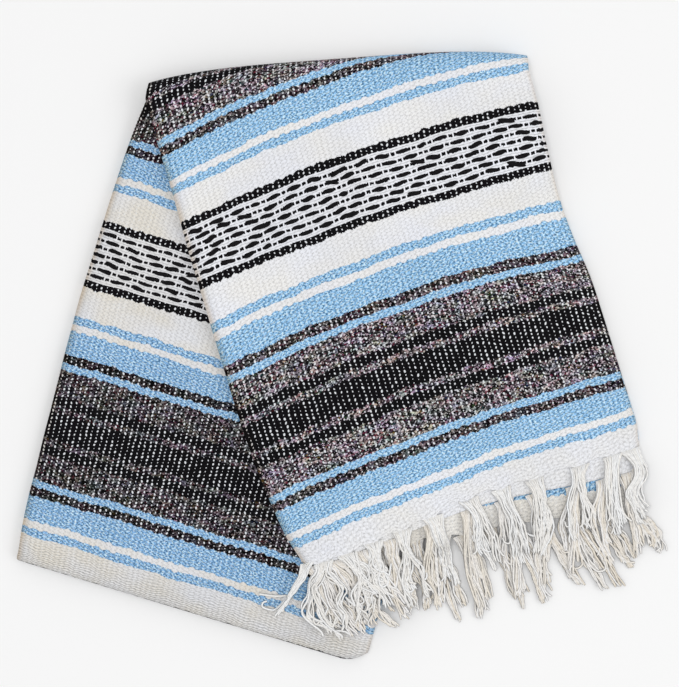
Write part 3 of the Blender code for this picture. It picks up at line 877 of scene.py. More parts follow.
# The tassels' roots draw the hems outwards, so their table stands here, before the fringes.
TASSELS = {
    # hem: (root across, tip across, tip along, sway, spread)
    "top": (
        (6.0, -41.0, -50.0, 0.0, 10.0),
        (20.0, 12.0, -84.0, -4.0, 13.0),
        (43.0, 50.0, -71.0, 5.0, 15.0),
        (69.0, 72.0, -64.0, 0.0, 14.0),
        (98.0, 91.0, -76.0, -2.0, 15.0),
        (128.0, 131.0, -68.0, 2.0, 15.0),
        (164.0, 170.0, -66.0, 3.0, 15.0),
        (196.0, 194.0, -68.0, 3.0, 13.0),
        (228.0, 215.0, -66.0, 5.0, 13.0),
        (272.0, 256.0, -62.0, -4.0, 16.0),
        (303.0, 286.0, -70.0, -3.0, 14.0),
        (321.0, 314.0, -66.0, -4.0, 14.0),
    ),
    "middle": (
        (10.0, 29.0, -82.0, -3.0, 12.0),
        (30.0, 46.0, -84.0, 2.0, 12.0),
        (56.0, 65.0, -87.0, 0.0, 14.0),
        (85.0, 84.0, -78.0, 2.0, 14.0),
        (127.0, 110.0, -84.0, -2.0, 15.0),
        (163.0, 149.0, -98.0, -4.0, 14.0),
        (195.0, 184.0, -96.0, 1.0, 14.0),
        (225.0, 209.0, -94.0, 0.0, 14.0),
        (262.0, 238.0, -90.0, -2.0, 15.0),
        (291.0, 270.0, -94.0, -6.0, 15.0),
        (311.0, 303.0, -92.0, -2.0, 15.0),
    ),
    "low": (
        (22.0, 20.0, -76.0, 0.0, 13.0),
        (50.0, 44.0, -80.0, 0.0, 13.0),
        (75.0, 73.0, -80.0, 0.0, 13.0),
        (104.0, 101.0, -82.0, 0.0, 14.0),
        (130.0, 129.0, -102.0, -2.0, 14.0),
        (150.0, 149.0, -105.0, 0.0, 14.0),
        (172.0, 186.0, -109.0, 2.0, 15.0),
        (197.0, 211.0, -109.0, 2.0, 15.0),
        (223.0, 240.0, -104.0, 0.0, 15.0),
        (249.0, 270.0, -116.0, 0.0, 15.0),
        (274.0, 294.0, -102.0, 2.0, 15.0),
        (300.0, 324.0, -98.0, 8.0, 14.0),
    ),
}


def hem_pull(hem, u, from_hem):
    """How far the tassels draw a hem outwards, most where each one is rooted."""
    across = mix(HEM_LEFT, HEM_RIGHT[hem], u)
    near = sum(np.exp(-((across - root) / TASSEL_HOLD) ** 2) for root, *_ in TASSELS[hem])
    return HEM_PULL * (near - HEM_SET_BACK) * (1 - smooth(from_hem / HEM_PULL_REACH))


# The picks that get a row each, those of them on the flat leg, and the rows of the hidden rest.
OUTER_FINE_PICKS = 284
FLAT_PICKS = 200
OUTER_TAIL_ROWS = 60
# Where round the top fold the yarns' relief starts to fade, and over how much of its turn.
RELIEF_END = (2.2, 0.5)
OUTER_HEM_TURN = ((0.35, 0.95), (0.5, 0.5), (0.3, 0.15))


def outer_layer():
    """The outer layer's mesh: a row for every pick that shows, then coarser ones to its end."""
    columns = cloth_columns()
    u = columns[:, 0][None, :]
    fine = (np.arange(OUTER_FINE_PICKS) * PICK_PITCH)[:, None] + 0 * u
    length = np.linalg.norm(fold_centre(u) - bottom_centre(u), axis=-1)
    last = fine[-1:, :]
    past_fold = stripe_rise(u, last) - fold_rise(u) - pi * FOLD_RADIUS
    to_tail = length * (1 - TAIL_SHARE - TAIL_GAP_SHARE) - past_fold
    shares = (np.arange(1, OUTER_TAIL_ROWS + 1) / OUTER_TAIL_ROWS)[:, None]
    # Past the fine rows the cloth climbs one for one, as the last rows of the table do.
    slope = stripe_rise(u, last + 1.0) - stripe_rise(u, last)
    tail = last + shares * to_tail / slope
    cloth = np.concatenate([np.repeat(fine[:1], len(OUTER_HEM_TURN), axis=0), fine, tail])
    u = np.broadcast_to(u, cloth.shape)
    depth = np.broadcast_to(columns[:, 2][None, :], cloth.shape).copy()
    hem_out = np.zeros(cloth.shape)
    for row, (out, turn_depth) in enumerate(OUTER_HEM_TURN):
        depth[row] = np.maximum(depth[row], turn_depth)
        hem_out[row] = out
    face = outer_form(u, cloth - wander(u, cloth), depth)
    side = np.broadcast_to(columns[:, 1][None, :], cloth.shape)
    face[..., :2] += side[..., None] * FRONT_ACROSS - hem_out[..., None] * FRONT_ALONG
    back = outer_form(u, cloth, np.full(cloth.shape, PLY))
    pull = hem_pull("top", u, cloth)
    for grid in (face, back):
        grid[..., :2] -= pull[..., None] * FRONT_ALONG
    over = stripe_rise(u, cloth) - fold_rise(u)
    seen = (1 - smooth((over / FOLD_RADIUS - RELIEF_END[0]) / RELIEF_END[1])) * (side == 0)
    face += facing(face) * (weave_relief(u, cloth) * seen)[..., None]
    stops = [*range(0, FLAT_PICKS, COARSE_STEP), *range(FLAT_PICKS, OUTER_FINE_PICKS, 2),
             *range(OUTER_FINE_PICKS, len(cloth), 3)]
    return closed_sheet("front_cloth", face, back, u, cloth, stops)


front_mesh = outer_layer()
front_mesh.materials.append(front_finish)
front_cloth = add_piece("front_cloth", front_mesh)
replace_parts(front_cloth, "outer_stretch")


# --- The floats of the front band -------------------------------------------------------------
# Short black leaves of thick yarn that lie over two warp yarns each, raised on the white
# ground. Seven rows of them make zigzags and diamonds, mirrored about an axis.

FLOAT_RISE = 0.95
SEARCH_STEP = 0.05
SHORTEST_FLOAT = 0.7
FLOAT_SHIFT = 0.25
# How far a float leans out of its row, and how much that differs between floats.
FLOAT_SLANT = 0.12
FLOAT_SLANT_SPREAD = 0.13
BAND_ROWS = range(-3, 4)
FROM_SELVEDGE = 0.3


def float_marks(first_warp, last_warp):
    """Each float's row, middle and half length in warp yarns, by the rule of the band."""
    marks = []
    across = np.arange(first_warp, last_warp, SEARCH_STEP)
    fold = np.abs((across - FLOAT_AXIS + FLOAT_REPEAT) % (2 * FLOAT_REPEAT) - FLOAT_REPEAT)
    for row in BAND_ROWS:
        off = (fold - abs(row) + 1.5) % 4.0 - 2.0
        inside = np.abs(off) < FLOAT_HALF_LENGTH
        changes = np.flatnonzero(np.diff(np.concatenate([[0], inside.astype(int), [0]])))
        for start, stop in zip(changes[::2], changes[1::2]):
            length = (stop - start) * SEARCH_STEP
            if length > SHORTEST_FLOAT:
                marks.append((row, across[start] + length / 2, length / 2))
    return marks


def float_points(name, form, middle, marks, height, random):
    """A point for each float, with the directions along and out of the cloth and its size."""
    rows, places, halves = np.array(marks).T
    u = places / WARPS
    cloth = middle + rows * FLOAT_ROW_PITCH + random.normal(0.0, FLOAT_SHIFT, len(u))
    step = 0.5 / WARPS
    here, beside = form(u, cloth), form(u + step, cloth)
    ahead = form(u, cloth + 2.0)
    along = (beside - here) / np.linalg.norm(beside - here, axis=-1, keepdims=True)
    other = (ahead - here) / np.linalg.norm(ahead - here, axis=-1, keepdims=True)
    out = np.cross(along, other)
    out *= np.sign(out[:, 2:]) / np.linalg.norm(out, axis=-1, keepdims=True)
    slant = random.normal(0.0, FLOAT_SLANT_SPREAD, len(u))
    slant += FLOAT_SLANT * np.sign(np.sin(places * 0.35 + rows))
    along = along + other * slant[:, None]
    along /= np.linalg.norm(along, axis=-1, keepdims=True)
    size = np.stack([np.full(len(u), FLOAT_RISE), height * random.uniform(0.78, 1.15, len(u)),
                     halves * WARP_PITCH * random.uniform(0.85, 1.06, len(u))], axis=-1)
    mesh = bpy.data.meshes.new(name)
    mesh.from_pydata(in_metres(here), [], [])
    for label, values in (("along", along), ("out", out), ("size", size * MM)):
        attribute = mesh.attributes.new(label, "FLOAT_VECTOR", "POINT")
        attribute.data.foreach_set("vector", values.ravel())
    return mesh


def new_tool(name, source, outcome):
    """Geometry nodes that take a mesh, a number of sides and a finish, and what they are given."""
    tool = bpy.data.node_groups.new(name, "GeometryNodeTree")
    for socket, kind in ((source, "Geometry"), ("Sides", "Int"), ("Finish", "Material")):
        tool.interface.new_socket(socket, in_out="INPUT", socket_type=f"NodeSocket{kind}")
    tool.interface.new_socket(outcome, in_out="OUTPUT", socket_type="NodeSocketGeometry")
    return tool, tool.nodes.new("NodeGroupInput").outputs


def tool_node(tool, kind, **inputs):
    """A node of such a tool, with its inputs given as values or as other nodes' outputs."""
    node = tool.nodes.new(kind)
    for name, value in inputs.items():
        socket = node.inputs[name.replace("_", " ")]
        if isinstance(value, bpy.types.NodeSocket):
            tool.links.new(value, socket)
        else:
            socket.default_value = value
    return node.outputs


def end_tool(tool, given, shape, outcome):
    """Make what was laid out real, give it its finish and put it out."""
    real = tool_node(tool, "GeometryNodeRealizeInstances", Geometry=shape)
    painted = tool_node(tool, "GeometryNodeSetMaterial", Geometry=real["Geometry"],
                        Material=given["Finish"])
    tool.links.new(painted["Geometry"], tool.nodes.new("NodeGroupOutput").inputs[outcome])
    return tool


def marked_value(tool, label, kind):
    """What the mesh's points carry under a label."""
    node = tool.nodes.new("GeometryNodeInputNamedAttribute")
    node.data_type = kind
    node.inputs["Name"].default_value = label
    return node.outputs["Attribute"]


def build_float_tool():
    """Geometry nodes that lay a pointed leaf of yarn on each point."""
    tool, given = new_tool("woven floats", "Points", "Floats")
    ball = tool_node(tool, "GeometryNodeMeshUVSphere", Rings=9, Radius=1.0, Segments=given["Sides"])
    turn = tool.nodes.new("FunctionNodeAxesToRotation")
    turn.primary_axis, turn.secondary_axis = "Z", "X"
    tool.links.new(marked_value(tool, "along", "FLOAT_VECTOR"), turn.inputs["Primary Axis"])
    tool.links.new(marked_value(tool, "out", "FLOAT_VECTOR"), turn.inputs["Secondary Axis"])
    laid = tool_node(tool, "GeometryNodeInstanceOnPoints", Points=given["Points"],
                     Instance=ball["Mesh"], Rotation=turn.outputs["Rotation"],
                     Scale=marked_value(tool, "size", "FLOAT_VECTOR"))
    return end_tool(tool, given, laid["Instances"], "Floats")


def build_float_finish():
    """Soft black yarn, with a fine fuzz."""
    finish, shader = new_finish("black float yarn", 0.95)
    shader.inputs["Specular IOR Level"].default_value = 0.1
    tree = finish.node_tree
    place = Term(tree, tree.nodes.new("ShaderNodeTexCoord").outputs["Object"])
    fuzz, _ = texture("Noise", place, Scale=1400.0, Detail=2.0)
    connect(blend(ranged(fuzz, 0.5, 0.8), dye(17, 16, 18), dye(50, 48, 50)), shader.inputs["Base Color"])
    add_bump(shader, fuzz, 0.6, 0.3 * MM)
    return finish


def apply_tool(name, source, tool, **settings):
    """Run geometry nodes on a mesh and give back the finished mesh."""
    holder = bpy.data.objects.new(f"{name}_source", source)
    scene.collection.objects.link(holder)
    modifier = holder.modifiers.new("tool", "NODES")
    modifier.node_group = tool
    for item in tool.interface.items_tree:
        if item.item_type == "SOCKET" and item.in_out == "INPUT" and item.name in settings:
            modifier[item.identifier] = settings[item.name]
    depsgraph = bpy.context.evaluated_depsgraph_get()
    mesh = bpy.data.meshes.new_from_object(holder.evaluated_get(depsgraph))
    mesh.name = name
    bpy.data.objects.remove(holder)
    bpy.data.meshes.remove(source)
    mesh.shade_smooth()
    return mesh


float_tool = build_float_tool()
float_finish = build_float_finish()


def add_floats(name, form, middle, last_warp, height, seed):
    """One band's floats, from the left selvedge to a warp yarn."""
    marks = float_marks(FROM_SELVEDGE, last_warp)
    points = float_points(name, form, middle, marks, height, np.random.default_rng(seed))
    add_piece(name, apply_tool(name, points, float_tool, Sides=8, Finish=float_finish))


add_floats("front_band_floats",
           lambda u, cloth: outer_form(u, cloth - wander(u, cloth), np.zeros_like(u)),
           DARK_MIDDLE + HALF_REPEAT, WARPS - FROM_SELVEDGE, 2.2, 21)


# --- The inner layer --------------------------------------------------------------------------
# The layer that shows on the back leg: from the lowest hem up under the front leg, through the
# crease inside the roll, down the back leg, round its bottom fold and tucked under its end.

# The cloth distance at the back leg's corner, how far the stripes lean and bend on that leg,
# and how much of the cloth lies in a length of it.
BACK_MARK = 913.7
BACK_LEAN = 0.0215
BACK_CURL = 2.5
BACK_FULLNESS = 1.02
BACK_FINE_FROM = 468.0
BACK_TAIL = 44.0
BOTTOM_PICKS = 32
FAN_ROWS = 12
CREASE_ROWS = 6
BACK_FINE_PICKS = np.arange(BACK_FINE_FROM, BACK_MARK + BACK_TAIL, PICK_PITCH)


def bottom_form(u, turn, depth):
    """The bottom fold, turned from its top round its end to its underside."""
    radius = depth - BOTTOM_RADIUS
    place = bottom_centre(u) - (radius * np.sin(turn))[..., None] * BACK_ALONG
    return raised(place, (BOTTOM_RADIUS + radius * np.cos(turn)) * edge_height(u))


def back_ends(u):
    """How far up the back leg the bottom fold and the top fold lie."""
    return ((bottom_centre(u) - BACK_CORNER) @ BACK_ALONG,
            (fold_centre(u) - BACK_CORNER) @ BACK_ALONG)


def back_cloth(u, share):
    """Distance along the cloth at a share of the way up the back leg."""
    low, high = back_ends(u)
    along = mix(low, high, share)
    return BACK_MARK + BACK_CURL * u ** 3 - BACK_FULLNESS * (along + BACK_LEAN * u * STRIP_WIDTH)


def hem_form(start, end, u, share, depth):
    """A layer between two hems of the front leg."""
    place = mix(hem_place(start, u), hem_place(end, u), share[..., None])
    return on_front(place, u, STACK - depth)


def back_rise(u, cloth):
    """How far up the back leg the cloth lies that is so far from the low hem."""
    return (BACK_MARK + BACK_CURL * u ** 3 - cloth) / BACK_FULLNESS - BACK_LEAN * u * STRIP_WIDTH


def low_back_form(u, cloth, depth):
    """The back leg and its bottom fold, at a distance along the cloth."""
    low, high = back_ends(u)
    along = back_rise(u, cloth - wander(u, cloth) * smooth((cloth - BACK_FINE_FROM) / 10.0))
    below = low - along
    flat = back_form(u, np.maximum(along - low, 0) / (high - low), depth)
    end = bottom_form(u, np.clip(below / BOTTOM_RADIUS, 0, pi), depth)
    past = np.maximum(below - pi * BOTTOM_RADIUS, 0) / (high - low)
    tucked = back_form(u, np.minimum(past, TAIL_SHARE), STACK - depth)
    turned = (below < pi * BOTTOM_RADIUS)[..., None]
    return np.where((below < 0)[..., None], flat, np.where(turned, end, tucked))


LOW_LIFT = 10.8
LOW_STEEPNESS = 0.28
LOW_END_SHARE = 0.5
FLAP_TAUTNESS = 0.74


def low_lift(u):
    """How high the low hem's flap climbs up to the middle hem, on the layers folded below."""
    return np.minimum(LOW_LIFT, LOW_STEEPNESS * (hem_along("middle", u) - hem_along("low", u)))


def rows_of(values, u):
    """A column of values, one for each row of a grid whose columns are at u."""
    return np.asarray(values, float)[:, None] + 0 * u[None, :]


def inner_grid(u, depth):
    """Points and cloth distances of the inner layer, row by row from the low hem to the tail."""
    points, cloth = [], []
    gap = hem_along("top", u) - hem_along("low", u)
    middle_gap = hem_along("middle", u) - hem_along("low", u)
    reach = np.linalg.norm(fold_centre(u) - hem_place("top", u), axis=-1)
    at_fold = back_cloth(u, np.ones_like(u))

    def add(form, values, distance):
        t = rows_of(values, u)
        u_grid = np.broadcast_to(u, t.shape)
        points.append(form(u_grid, t, np.broadcast_to(depth, t.shape)))
        cloth.append(distance(t))

    def low_hem(a, t, d):
        place = hem_form("low", "middle", a, t, d)
        pull = hem_pull("low", a, t * middle_gap)
        place[..., :2] -= pull[..., None] * FRONT_ALONG
        place[..., 2] += low_lift(a) * mix(LOW_END_SHARE, 1.0, smooth(t))
        return place

    def under_hem(a, t, d):
        place = hem_form("middle", "top", a, t, d)
        place[..., 2] += low_lift(a) * (1 - smooth(t))
        return place

    add(low_hem, np.arange(14) / 14, lambda t: FLAP_TAUTNESS * t * middle_gap)
    add(under_hem, np.arange(4) / 4, lambda t: mix(FLAP_TAUTNESS * middle_gap, gap, t))
    add(front_form, np.arange(60) / 60,
        lambda t: gap + t * reach + (at_fold - gap - reach) * smooth(t))
    add(fold_form, pi * np.arange(CREASE_ROWS) / (CREASE_ROWS - 1), lambda t: at_fold + 0.3 * t)
    fan = rows_of(np.arange(1, FAN_ROWS) / FAN_ROWS, u)
    fan_cloth = mix(at_fold, BACK_FINE_FROM, fan)
    fine = rows_of(BACK_FINE_PICKS, u)
    low_cloth = np.concatenate([fan_cloth, fine])
    u_grid = np.broadcast_to(u, low_cloth.shape)
    points.append(low_back_form(u_grid, low_cloth, np.broadcast_to(depth, low_cloth.shape)))
    cloth.append(low_cloth)
    return np.concatenate(points), np.concatenate(cloth)


# How far the edge steps in and out, and how far round the bottom fold the relief goes on.
EDGE_TEETH = 0.22
RELIEF_REACH = 18.0


def inner_layer():
    """The inner layer's mesh. Its edges step in and out from pick to pick."""
    columns = cloth_columns()[::-1]
    u, out, depth = columns.T
    face, cloth = inner_grid(u, STACK - depth)
    back, _ = inner_grid(u, np.full(u.shape, STACK - PLY))
    rows = len(cloth)
    uneven = EDGE_TEETH * np.where(np.arange(rows) % 2, 1.0, -1.0)[:, None]
    edge = out != 0
    face[..., 0] += out + uneven * np.sign(out) * edge
    first_fine = rows - len(BACK_FINE_PICKS)
    low, _ = back_ends(u)
    above = back_rise(u, cloth) - low + RELIEF_REACH
    seen = (np.arange(rows) >= first_fine)[:, None] * (~edge) * smooth(above / 4.0)
    u_grid = np.broadcast_to(u, cloth.shape)
    face += facing(face) * (weave_relief(u_grid, cloth) * seen)[..., None]
    stops = [*range(first_fine + 1), *range(first_fine, rows - BOTTOM_PICKS, COARSE_STEP),
             *range(rows - BOTTOM_PICKS, rows)]
    return closed_sheet("back_cloth", face, back, u_grid, cloth, stops)


# The back leg's finish is a greyer, darker copy of the front's, painted shade, and the flap that
# comes out under the front leg's hems gets a lighter copy, painted light.
FLAP_END = 60.0
back_mesh = inner_layer()
back_mesh.materials.append(striped_cloth(
    "back cloth painted shade", dye(233, 234, 238), dye(231, 226, 216), dye(141, 189, 236), 0.4))
back_mesh.materials.append(striped_cloth(
    "flap cloth painted light", dye(255, 253, 249), dye(255, 250, 240), dye(154, 206, 250), 1.0))
for polygon in back_mesh.polygons:
    if back_mesh.uv_layers["cloth"].uv[polygon.loop_start].vector[1] < FLAP_END * MM:
        polygon.material_index = 1
back_piece = add_piece("back_cloth", back_mesh)
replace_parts(back_piece, "inner_stretch")
add_floats("back_band_floats", lambda u, cloth: low_back_form(u, cloth, np.full(u.shape, STACK)),
           DARK_MIDDLE + 3 * HALF_REPEAT, 0.5 * WARPS, 1.9, 22)


# --- The hidden layers ------------------------------------------------------------------------
# Six layers of the folded cloth between the two that show. Only their rounded edges come out,
# one over the other, along both sides of each leg and at the middle hem.

# How far each layer's edge stands out, the valley between two edges, the steps round an edge
# and the cloth that wraps round it.
EDGE_OUTS = {
    "right": (0.7, -0.6, 0.9, -0.2, 0.5, -0.8),
    "left": (-0.5, 0.8, -0.3, 0.9, -0.7, 0.6),
}
EDGE_VALLEY = -1.9
EDGE_STEPS = (0.07, 0.22, 0.5, 0.78, 0.93)
EDGE_WRAP = 1.4
EDGE_WANDER = 0.5
EDGE_INSET = -1.3
END_OUT = 0.6
FACE_COLUMNS = 25
HIDDEN_TOP = PLY + SEAM
HIDDEN_MIDDLE_HEM_SHARE = 0.6
NOSE_TURNS = (25.0, 50.0, 75.0)
FRONT_SECTIONS = 80
FOLD_SECTIONS = 15
BACK_SECTIONS = 86


def edge_profile(side):
    """Depth, way out and cloth wrapped for each point down the stacked edges of the layers."""
    profile = []
    for ply, out in enumerate(EDGE_OUTS[side]):
        if ply:
            profile.append((HIDDEN_TOP + ply * PLY, EDGE_VALLEY, 0.0, ply))
        for step in EDGE_STEPS:
            bulge = (1 - (2 * step - 1) ** 2) ** 0.5
            profile.append((HIDDEN_TOP + (ply + step) * PLY, mix(EDGE_VALLEY, out, bulge),
                            EDGE_WRAP * bulge, ply))
    return np.array(profile)


def nose_form(u, turn, depth):
    """The hidden layers' round end inside the bottom fold."""
    place = bottom_centre(u) - (HIDDEN / 2 * np.sin(turn))[..., None] * BACK_ALONG
    return raised(place, (BOTTOM_RADIUS + (depth - BOTTOM_RADIUS) * np.cos(turn)) * edge_height(u))


def hidden_sections():
    """Each row of the hidden layers: its form, its place along that form and its cloth distance."""
    climb = np.arange(0.0, 480.0, 2.0)
    ends = np.array((0.0, 1.0))
    hem_gap = HIDDEN_MIDDLE_HEM_SHARE * (hem_along("top", ends) - hem_along("middle", ends))
    start, stop = hem_rise(ends), fold_rise(ends)
    climbed = [stripe_rise(np.full(climb.shape, u), climb) for u in (0.0, 1.0)]

    def front_cloth_at(share):
        at = [np.interp(mix(start[i], stop[i], share), climbed[i], climb)
              + hem_gap[i] * (1 - smooth(share / 0.3)) for i in (0, 1)]
        return lambda u: mix(at[0], at[1], u)

    sections = []
    for share in np.arange(4) / 4:
        sections.append((lambda u, t, d: hem_form("middle", "top", u, t, d), share,
                         lambda u, s=share: s * mix(hem_gap[0], hem_gap[1], u)))
    for share in np.arange(FRONT_SECTIONS) / FRONT_SECTIONS:
        sections.append((front_form, share, front_cloth_at(share)))
    at_top = front_cloth_at(1.0)
    for share in np.arange(FOLD_SECTIONS) / (FOLD_SECTIONS - 1):
        sections.append((fold_form, pi * share,
                         lambda u, s=share: mix(at_top(u), back_cloth(u, np.ones_like(u)), s)))
    for share in np.arange(BACK_SECTIONS)[::-1] / BACK_SECTIONS:
        sections.append((back_form, share, lambda u, s=share: back_cloth(u, np.full(u.shape, s))))
    for turn in NOSE_TURNS:
        sections.append((nose_form, radians(turn), lambda u, t=turn: back_cloth(u, 0 * u) + t / 10))
    return sections


def hidden_layers():
    """The six layers as one closed mesh, ring by ring from the middle hem to the bottom fold."""
    across = np.linspace(0.0, 1.0, FACE_COLUMNS)
    right, left = edge_profile("right"), edge_profile("left")[::-1]
    u = np.concatenate([across, np.ones(len(right)), across[::-1], np.zeros(len(left))])
    depth = np.concatenate([np.full(FACE_COLUMNS, HIDDEN_TOP), right[:, 0],
                            np.full(FACE_COLUMNS, HIDDEN_TOP + HIDDEN), left[:, 0]])
    inset = np.zeros(FACE_COLUMNS)
    inset[[0, -1]] = EDGE_INSET
    out = np.concatenate([inset, right[:, 1], inset, left[:, 1]])
    wrapped = np.concatenate([0 * inset, right[:, 2], 0 * inset, -left[:, 2]])
    ply = np.concatenate([0 * inset, right[:, 3], 0 * inset, left[:, 3] + 8])
    inner = np.where(u > 0.5, 0.93, 0.07)
    at_edge = (u < 0.001) | (u > 0.999)
    rings, cloths = [], []
    sections = hidden_sections()
    for row, (form, place, distance) in enumerate(sections):
        t = np.full(u.shape, place)
        points = form(u, t, depth)
        direction = points - form(inner, t, depth)
        direction /= np.linalg.norm(direction, axis=-1, keepdims=True)
        uneven = EDGE_WANDER * np.sin(0.09 * row * (1 + 0.13 * ply) + 2.4 * ply) * (out > EDGE_VALLEY)
        points += ((out + uneven * (wrapped != 0)) * at_edge)[:, None] * direction
        rings.append(points)
        cloths.append(np.stack([u * STRIP_WIDTH + wrapped, distance(u)], axis=-1))
    count = len(u)
    faces = []
    for low in range(0, (len(rings) - 1) * count, count):
        for index in range(count):
            after = (index + 1) % count
            faces.append((low + index, low + after, low + count + after, low + count + index))
    points = np.concatenate(rings)
    cloth = np.concatenate(cloths)
    bottom_start = FACE_COLUMNS + len(right)
    middle_u = across[1:-1]
    # Rows of points close both ends, level by level. The hem's end bulges, the other is hidden.
    for end in (0, len(rings) - 1):
        base = end * count
        lines = [list(base + np.arange(FACE_COLUMNS))]
        form, place, distance = sections[end]
        t = np.full(middle_u.shape, place)
        for level, (depth_here, out_here) in enumerate(right[:, :2]):
            row_points = form(middle_u, t, np.full(middle_u.shape, depth_here))
            if end == 0:
                row_points[:, :2] -= (out_here + END_OUT) * FRONT_ALONG
            first = len(points)
            points = np.concatenate([points, row_points])
            flat = np.stack([middle_u * STRIP_WIDTH, distance(middle_u)], axis=-1)
            cloth = np.concatenate([cloth, flat])
            lines.append([base + bottom_start + FACE_COLUMNS + len(left) - 1 - level,
                          *(first + np.arange(len(middle_u))), base + FACE_COLUMNS + level])
        lines.append(list(base + bottom_start + FACE_COLUMNS - 1 - np.arange(FACE_COLUMNS)))
        for upper, lower in zip(lines, lines[1:]):
            for index in range(FACE_COLUMNS - 1):
                quad = (upper[index], lower[index], lower[index + 1], upper[index + 1])
                faces.append(quad if end == 0 else quad[::-1])
    return cloth_mesh("layer_edges", points, [[int(i) for i in face] for face in faces], cloth)


layers_mesh = hidden_layers()
layers_mesh.materials.append(front_finish)
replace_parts(add_piece("layer_edges", layers_mesh), "hidden_layers")


# --- The fringes ------------------------------------------------------------------------------
# The warp yarns go on past each hem, drawn together into tassels. Every tassel is a bunch of
# soft plied yarns, pinched at its root, that spread, wave and curl as they lie.

FRINGE_DROP = 60.0
FRINGE_LEVELS = {
    # hem: (at the hem, on the cloth, beyond the cloth)
    "top": (13.1, 6.4, 4.4),
    "middle": (10.6, 4.2, 2.4),
    "low": (0.4, 0.4, 0.4),
}
FRINGE_LIFT = 0.9
LEVEL_FALL = 36.0
CLOTH_END_FALL = 25.0
YARN_RADIUS = 1.03
YARN_POINTS = 34
# How a tassel's bunches stand apart and how wide each is, on the way from root to tip.
BUNCH_ROWS = (
    # share of the way, bunch from bunch, half width of a bunch
    (0.00, 5.6, 3.3),
    (0.06, 4.4, 2.9),
    (0.14, 3.5, 2.6),
    (0.30, 3.9, 2.8),
    (0.60, 5.2, 3.2),
    (0.85, 5.2, 3.3),
    (1.00, 5.0, 3.3),
)
ROOT_INSIDE = 1.5
# Where a tassel's way from root to tip is bent: share of the way, across, along.
TASSEL_BENDS = {
    ("top", 321.0): (
        (0.16, 326.0, -10.0),
        (0.34, 325.0, -22.0),
        (0.50, 315.0, -32.0),
        (0.75, 313.0, -49.0),
    ),
}
# Narrow tassels have two bunches of five yarns, the others three bunches of eight.
NARROW_SPREAD = 11.0
WIDE_SPREAD = 14.0
# The share of yarns whose tips hook or loop back, the share of the way where that starts and
# how much of the way it takes, and how far it goes aside and back up.
HOOKED_TIPS = 0.15
HOOK_START, HOOK_LENGTH, HOOK_ASIDE, HOOK_BACK = 0.86, 0.14, 3.5, 3.0
LOOPED_TIPS = 0.03
LOOP_START, LOOP_LENGTH, LOOP_ASIDE, LOOP_BACK = 0.72, 0.28, 2.4, 26.0
BUNCH_LEVELS = (0.0, 1.2)
YARN_OVER_YARN = 1.6


def fringe_height(hem, across, along):
    """Height of a tassel's underside at a place on its way down from its hem."""
    place = spot(across, along, (FRONT_ACROSS, FRONT_ALONG), FRONT_CORNER)
    u = np.clip((across - HEM_LEFT) / (HEM_RIGHT["top"] - HEM_LEFT), 0.0, 1.0)
    past_cloth = smooth((hem_along("low", u) - along) / CLOTH_END_FALL)
    fallen = smooth((hem_along("middle", u) - along) / LEVEL_FALL)
    at_hem, on_cloth, beyond = FRINGE_LEVELS[hem]
    lifted = at_hem + FRINGE_LIFT * (hem != "low") * smooth((hem_along(hem, u) - along) / 6.0)
    carrier = mix(rise(place, CLOTH_DROP), rise(place, FRINGE_DROP), past_cloth)
    on_flap = on_cloth + LOW_END_SHARE * low_lift(u)
    return carrier + mix(lifted * edge_height(u), mix(on_flap, beyond, past_cloth), fallen)


# How many turns each kind of wave makes on its way from root to tip, at least and at most: a
# bunch's swing, sweep and bend, and a single yarn's crimp, looseness and slip.
SWING_TURNS = (0.4, 1.0)
SWEEP_TURNS = (0.4, 0.9)
BEND_TURNS = (1.2, 2.2)
CRIMP_TURNS = (4.0, 7.0)
LOOSE_TURNS = (1.2, 2.8)
SLIP_TURNS = (1.5, 3.5)


def wave(share, size, turns, random):
    """A wave along a yarn that starts from nothing at its root."""
    turned = random.uniform(*turns) * 2 * pi * share + random.uniform(0, 2 * pi)
    return size * (np.sin(turned) - np.sin(turned[0])) * smooth(share / 0.25)


